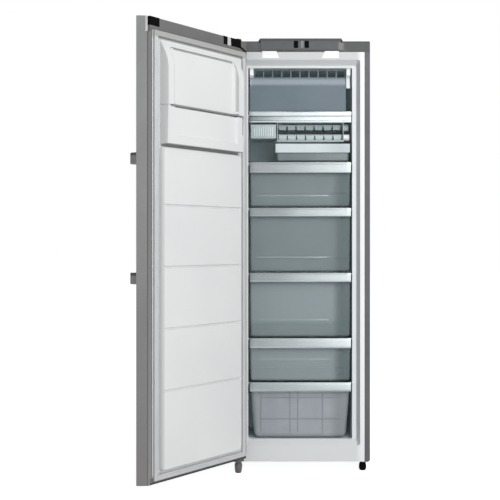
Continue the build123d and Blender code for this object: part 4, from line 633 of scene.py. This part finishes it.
def tray_knob(name, body, node, depth, level):
    """Knob carried along X and drawn in at both ends: its radius is 14 - 1.7 * max(0, cos 10a)^2 past
    the collar, and 14 on it."""
    start, length, collar, full, flute_depth, flutes = 188.8, 26, 6, 14, 1.7, 10
    inner_edge, outer_edge = 2, 2.5
    a = np.linspace(0, 2 * np.pi, 120, endpoint=False)
    turn = np.linspace(0, np.pi / 2, 5)
    ways = np.concatenate([inner_edge * (1 - np.cos(turn)), np.linspace(4, 7, 3), [8.5, 14, 20],
                           length - outer_edge * (1 - np.cos(turn[::-1]))])
    inset = np.concatenate([inner_edge * (1 - np.sin(turn)), np.zeros(6),
                            outer_edge * (1 - np.sin(turn[::-1]))])
    flute = np.clip((ways - collar) / 3, 0, 1)[:, None]
    radius = full - inset[:, None] - flute_depth * flute * np.maximum(0, np.cos(flutes * a)) ** 2
    points = in_cabinet(start + ways[:, None], depth + radius * np.cos(a), level + radius * np.sin(a))
    make_piece(name, [shell(points)], "white_moulding", body, [node], sharp=50)


def shelf_trim():
    """Trim on the top shelf's edge, two eased outlines carried across the hollow: one holds the bowed
    upper band, the groove and the narrow lower band, the other is the clip that grips the glass."""
    bands = rounded([
        (33.5, 1548), (31.2, 1545), (30.2, 1538), (30.6, 1530), (32, 1527.6), (37, 1526.6), (37, 1524.4),
        (33.5, 1523.4), (34.6, 1509.5), (33.6, 1506.6), (30.8, 1505.4), (30.4, 1501.6), (31.6, 1499),
        (34, 1499), (39, 1503), (39, 1548),
    ], radius=1.6)
    clip = rounded([
        (35, 1529.8), (54, 1529.8), (54, 1531.6), (39.7, 1531.6), (39.7, 1538.4), (54, 1538.4), (54, 1540.3),
        (35, 1540.3),
    ], radius=0.6)
    shells = [along_x(bands, start=-221, end=221, edge=0.8, runs=24),
              along_x(clip, start=-216, end=216, edge=0.5)]
    make_piece("top_shelf_front", shells, "shelf_trim", "cabinet", ["top_shelf_trim"],
               sharp=60)


def handle():
    """Flat bar of the handle: the superellipse section |u|^3 + |v|^3 = 1 carried up with rounded ends."""
    a = np.linspace(0, 2 * np.pi, 40, endpoint=False)
    circle = np.stack([np.cos(a), np.sin(a)], axis=-1)
    round_box = np.sign(circle) * np.abs(circle) ** (2 / 3)
    half_width, half_depth, free_edge, outer_face = 11.0, 7.0, 504.5, -85.0
    bar = round_box * (half_width, half_depth) + (free_edge - half_width, outer_face + half_depth)
    ways, rings = carried(bar, start=802, end=1342, edge=2.5, runs=16)
    shells = [shell(on_door(rings[..., 0], rings[..., 1], ways))]
    make_piece("handle_bar_drawn", shells, "handle", "door", ["handle_bar"], sharp=60)


def turned_foot(x, y, profile):
    """Foot turned about the vertical through x, y: (r cos a, r sin a, z) over its (r, z) profile."""
    a = np.linspace(0, 2 * np.pi, 48, endpoint=False)
    r, z = np.asarray(profile, float).T[:, :, None]
    return shell(in_cabinet(x + r * np.cos(a), y + r * np.sin(a), z + 0 * a))


def feet():
    """Two screw feet: a grey tapered one under the hinge leg, a round black one under the cabinet."""
    left = [(9.5, 0), (11.6, 0.8), (13, 2.6), (14, 6), (15, 13), (15.9, 22), (16.5, 31), (16.3, 38),
            (15, 40.5), (7, 40.8)]
    right = [(9, 0), (12, 1.2), (14.4, 5), (15.8, 10), (16.2, 17), (15.6, 24), (14.2, 30), (12.4, 35),
             (11, 39.5), (9, 40.6)]
    make_piece("hinge_side_foot", [turned_foot(x=-266, y=-22, profile=left)], "foot_grey", "cabinet",
               ["front_feet"], sharp=50)
    make_piece("right_foot", [turned_foot(x=269, y=30, profile=right)], "black_moulding", "cabinet",
               ["front_feet"], sharp=50)


def eased(t):
    """Smooth step 3t^2 - 2t^3 from 0 to 1."""
    t = np.clip(t, 0, 1)
    return t * t * (3 - 2 * t)


def inside(x, z, half, low, high, corner):
    """Distance into a rounded rectangle, negative outside: with q how far a point lies past the corner
    circles' centres along each axis, it is corner - |max(q, 0)| - min(max(qx, qz), 0)."""
    qx = np.abs(x) - half + corner
    qz = np.abs(z - (low + high) / 2) - (high - low) / 2 + corner
    return corner - np.hypot(np.maximum(qx, 0), np.maximum(qz, 0)) - np.minimum(np.maximum(qx, qz), 0)


def near(places, reach, count):
    """Grid lines close together round each place."""
    return (np.asarray(places, float)[:, None] + np.linspace(-reach, reach, count)[None, :]).ravel()


def door_lining():
    """Formed door liner as a height over the door: 15 mm * ease(d / 7) for the raised panel with d the
    distance into it, less 7 mm in each cross groove and 26 mm in the compartment's recess. The grid's
    lines are close together where the panel, the recess and the grooves end."""
    sheet_half, sheet_low, sheet_high = 285.2, 93.3, 1781.7
    panel_half, panel_low, panel_high, panel_rise = 250, 109.5, 1349, 15
    recess_half, recess_low, recess_high, recess_depth = 215, 1375, 1708, 26
    groove_half, groove_depth = 241, 7
    x = np.concatenate([np.linspace(0, recess_half - 10, 12), near([recess_half, panel_half - 3], 5, 9),
                        near([groove_half - 1], 3, 7), [256, 270, sheet_half]])
    x = np.unique(np.round(np.concatenate([-x, x]), 2))
    z = np.concatenate([np.linspace(sheet_low, sheet_high, 46), near([panel_low + 3.5, panel_high - 4], 5, 9),
                        near([recess_low, recess_high], 4, 7), near(GROOVE_LEVELS, 6, 15)])
    z = np.unique(np.round(z[(z >= sheet_low) & (z <= sheet_high)], 2))
    across, up = np.meshgrid(x, z)
    height = panel_rise * eased(inside(across, up, panel_half, panel_low, panel_high, corner=18) / 7)
    for level in GROOVE_LEVELS:
        share = eased((5.0 - np.abs(up - level)) / 2.4) * eased((groove_half - np.abs(across)) / 3)
        height = height - groove_depth * share
    recess = inside(across, up, recess_half, recess_low, recess_high, corner=14)
    height = height - recess_depth * eased((recess + 1) / 3.5)
    points = on_door(PIN_TO_MIDDLE + across, LINER_FACE + height, up).reshape(-1, 3)
    faces = [face[::-1] for face in grid_faces(len(z), len(x), wrap_columns=False)]
    make_piece("formed_door_liner", [(points, faces)], "door_liner", "door", ["door_liner"],
               wall=2.4)


# The seal's section in millimetres: how far a point lies in from the outer edge, and over the liner's
# flat rim.
SEAL_SECTION = [
    (2.0, 0.0), (10.5, 0.0), (19.0, 0.0), (19.6, 1.2), (17.0, 2.3), (15.8, 3.6), (17.6, 4.9), (20.2, 5.9),
    (20.9, 7.6), (20.2, 9.6), (17.6, 10.7), (14.5, 10.9), (12.6, 10.2), (8.4, 10.2), (6.5, 10.9), (3.4, 10.7),
    (0.8, 9.6), (0.1, 7.6), (0.8, 5.9), (3.4, 4.9), (5.2, 3.6), (4.0, 2.3), (1.4, 1.2),
]


def door_seal():
    """Door seal: a bellows section with a grooved lip, carried round a mitred rectangle.

    At each station the section's reach u from the outer edge moves the point u towards the
    rectangle's middle: straight in along a side, along both axes at a corner, so that the four sides
    meet on 45 degree mitres. With the way s round, the lip sways by 0.2 mm * (sin(2 pi s / 310 mm) - 1).
    """
    section = smooth_loop(SEAL_SECTION, count=69)
    low, high, half = 80.0, 1781.0, 281.0
    spacing, sway_height, sway_length, lip_rise = 20, 0.2, 310, 5
    corners = np.array([(-half, low), (half, low), (half, high), (-half, high)])
    diagonal = np.array([(1, 1), (-1, 1), (-1, -1), (1, -1)])
    inward = np.array([(0, 1), (-1, 0), (0, -1), (1, 0)])
    places, reaches = [], []
    for side in range(4):
        length = np.abs(corners[(side + 1) % 4] - corners[side]).sum()
        t = np.linspace(0, 1, int(length / spacing), endpoint=False)[:, None]
        straight = corners[side] + (corners[(side + 1) % 4] - corners[side]) * (0.02 + 0.96 * t)
        places += [corners[side][None], straight]
        reaches += [diagonal[side][None], np.broadcast_to(inward[side], straight.shape)]
    places, reaches = np.concatenate(places), np.concatenate(reaches)
    way = np.cumsum(np.linalg.norm(np.diff(places, axis=0, prepend=places[-1:]), axis=1))
    sway = sway_height * np.sin(2 * np.pi * way / sway_length) - sway_height
    flat = places[:, None, :] + reaches[:, None, :] * section[None, :, :1]
    rise = LINER_FACE + section[None, :, 1] + sway[:, None] * (section[None, :, 1] > lip_rise)
    points = on_door(PIN_TO_MIDDLE + flat[..., 0], rise, flat[..., 1])
    faces = grid_faces(len(places), len(section), wrap_rows=True)
    make_piece("door_seal", [(points.reshape(-1, 3), faces)], "seal", "door", ["door_gasket"],
               sharp=50)


for drawer_number in range(5):
    drawer_strip(drawer_number)
for drawer_number in range(4):
    drawer(drawer_number)
basket()
ice_parts()
tray_knob("lower_knob", "lower_tray", "lower_tray_knob", depth=66, level=1437)
tray_knob("upper_knob", "upper_tray", "upper_tray_knob", depth=106, level=1484)
shelf_trim()
handle()
feet()
door_lining()
door_seal()


# Stage, light and camera

def seen_directly(tree):
    """1 for what the camera, a reflection or a clear piece sees, 0 for the light on the object."""
    path = add(tree, "ShaderNodeLightPath").outputs
    seen = path["Is Camera Ray"]
    for kind in ("Is Glossy Ray", "Is Transmission Ray"):
        seen = add(tree, "ShaderNodeMath", None, {0: seen, 1: path[kind]}, operation="MAXIMUM").outputs[0]
    return seen


def stage_floor():
    """Pale floor: a square sheet that keeps the object's shadow and otherwise shows white."""
    material, tree = new_tree("studio_floor")
    plain = add(tree, "ShaderNodeBsdfDiffuse", {"Color": paint("#e8e8e8")})
    strength = add(tree, "ShaderNodeMath", {1: FLOOR_GLOW}, {0: seen_directly(tree)},
                   operation="MULTIPLY")
    glow = add(tree, "ShaderNodeEmission", None, {"Strength": strength.outputs[0]})
    both = add(tree, "ShaderNodeAddShader")
    tree.links.new(plain.outputs[0], both.inputs[0])
    tree.links.new(glow.outputs[0], both.inputs[1])
    add(tree, "ShaderNodeOutputMaterial", None, {"Surface": both.outputs[0]})
    reach = 30.0
    mesh = bpy.data.meshes.new("studio_floor")
    corners = [(-reach, -reach, 0), (reach, -reach, 0), (reach, reach, 0), (-reach, reach, 0)]
    mesh.from_pydata(corners, [], [(0, 1, 2, 3)])
    mesh.materials.append(material)
    floor = bpy.data.objects.new("studio_floor", mesh)
    bpy.context.scene.collection.objects.link(floor)


def stage_world(level):
    """White surroundings: full white where they are seen, a plain level where they light the object."""
    world = bpy.data.worlds.new("studio")
    bpy.context.scene.world = world
    world.use_nodes = True
    tree = world.node_tree
    tree.nodes.clear()
    strength = add(tree, "ShaderNodeMapRange", {"To Min": level, "To Max": 1.0},
                   {"Value": seen_directly(tree)})
    sky = add(tree, "ShaderNodeBackground", {"Color": (1, 1, 1, 1)}, {"Strength": strength.outputs["Result"]})
    add(tree, "ShaderNodeOutputWorld", None, {"Surface": sky.outputs[0]})


def soft_box(name, place, target, size, power, colour=(1, 1, 1), mirrored=True):
    """Rectangular studio lamp that looks at a point; it may stay out of reflections."""
    light = bpy.data.lights.new(name, "AREA")
    light.shape = "RECTANGLE"
    light.size, light.size_y = size
    light.energy = power
    light.color = colour
    lamp = bpy.data.objects.new(name, light)
    bpy.context.scene.collection.objects.link(lamp)
    lamp.location = place
    lamp.rotation_euler = (Vector(target) - Vector(place)).to_track_quat("-Z", "Y").to_euler()
    lamp.visible_glossy = mirrored


def photo_camera():
    """The photograph's camera: lens = focal pixels / picture pixels * sensor, shifted down to its middle."""
    camera = bpy.data.cameras.new("photo_camera")
    camera.sensor_width = SENSOR_MM
    camera.lens = SENSOR_MM * FOCAL_PIXELS / PICTURE_PIXELS
    camera.shift_y = (AXIS_ROW - PICTURE_PIXELS / 2) / PICTURE_PIXELS
    seen_from = bpy.data.objects.new("photo_camera", camera)
    bpy.context.scene.collection.objects.link(seen_from)
    seen_from.location = CAMERA_PLACE
    seen_from.rotation_euler = (math.pi / 2, 0, 0)
    bpy.context.scene.camera = seen_from


stage_floor()
stage_world(ROOM_LEVEL)
soft_box("key_box", place=(2.0, -2.7, 3.6), target=(0.1, 0.0, 0.9), size=(2.6, 2.6), power=76)
soft_box("strip_card", place=(1.3, -4.41, 1.8), target=(0.19, 0.0, 1.4), size=(1.5, 3.3), power=38)
soft_box("fill_box", place=(0.25, -4.7, 1.1), target=(0.19, 0.0, 0.95), size=(1.0, 2.0), power=26,
         colour=(0.86, 0.97, 1.0), mirrored=False)
photo_camera()
bpy.context.scene.view_settings.view_transform = "Standard"
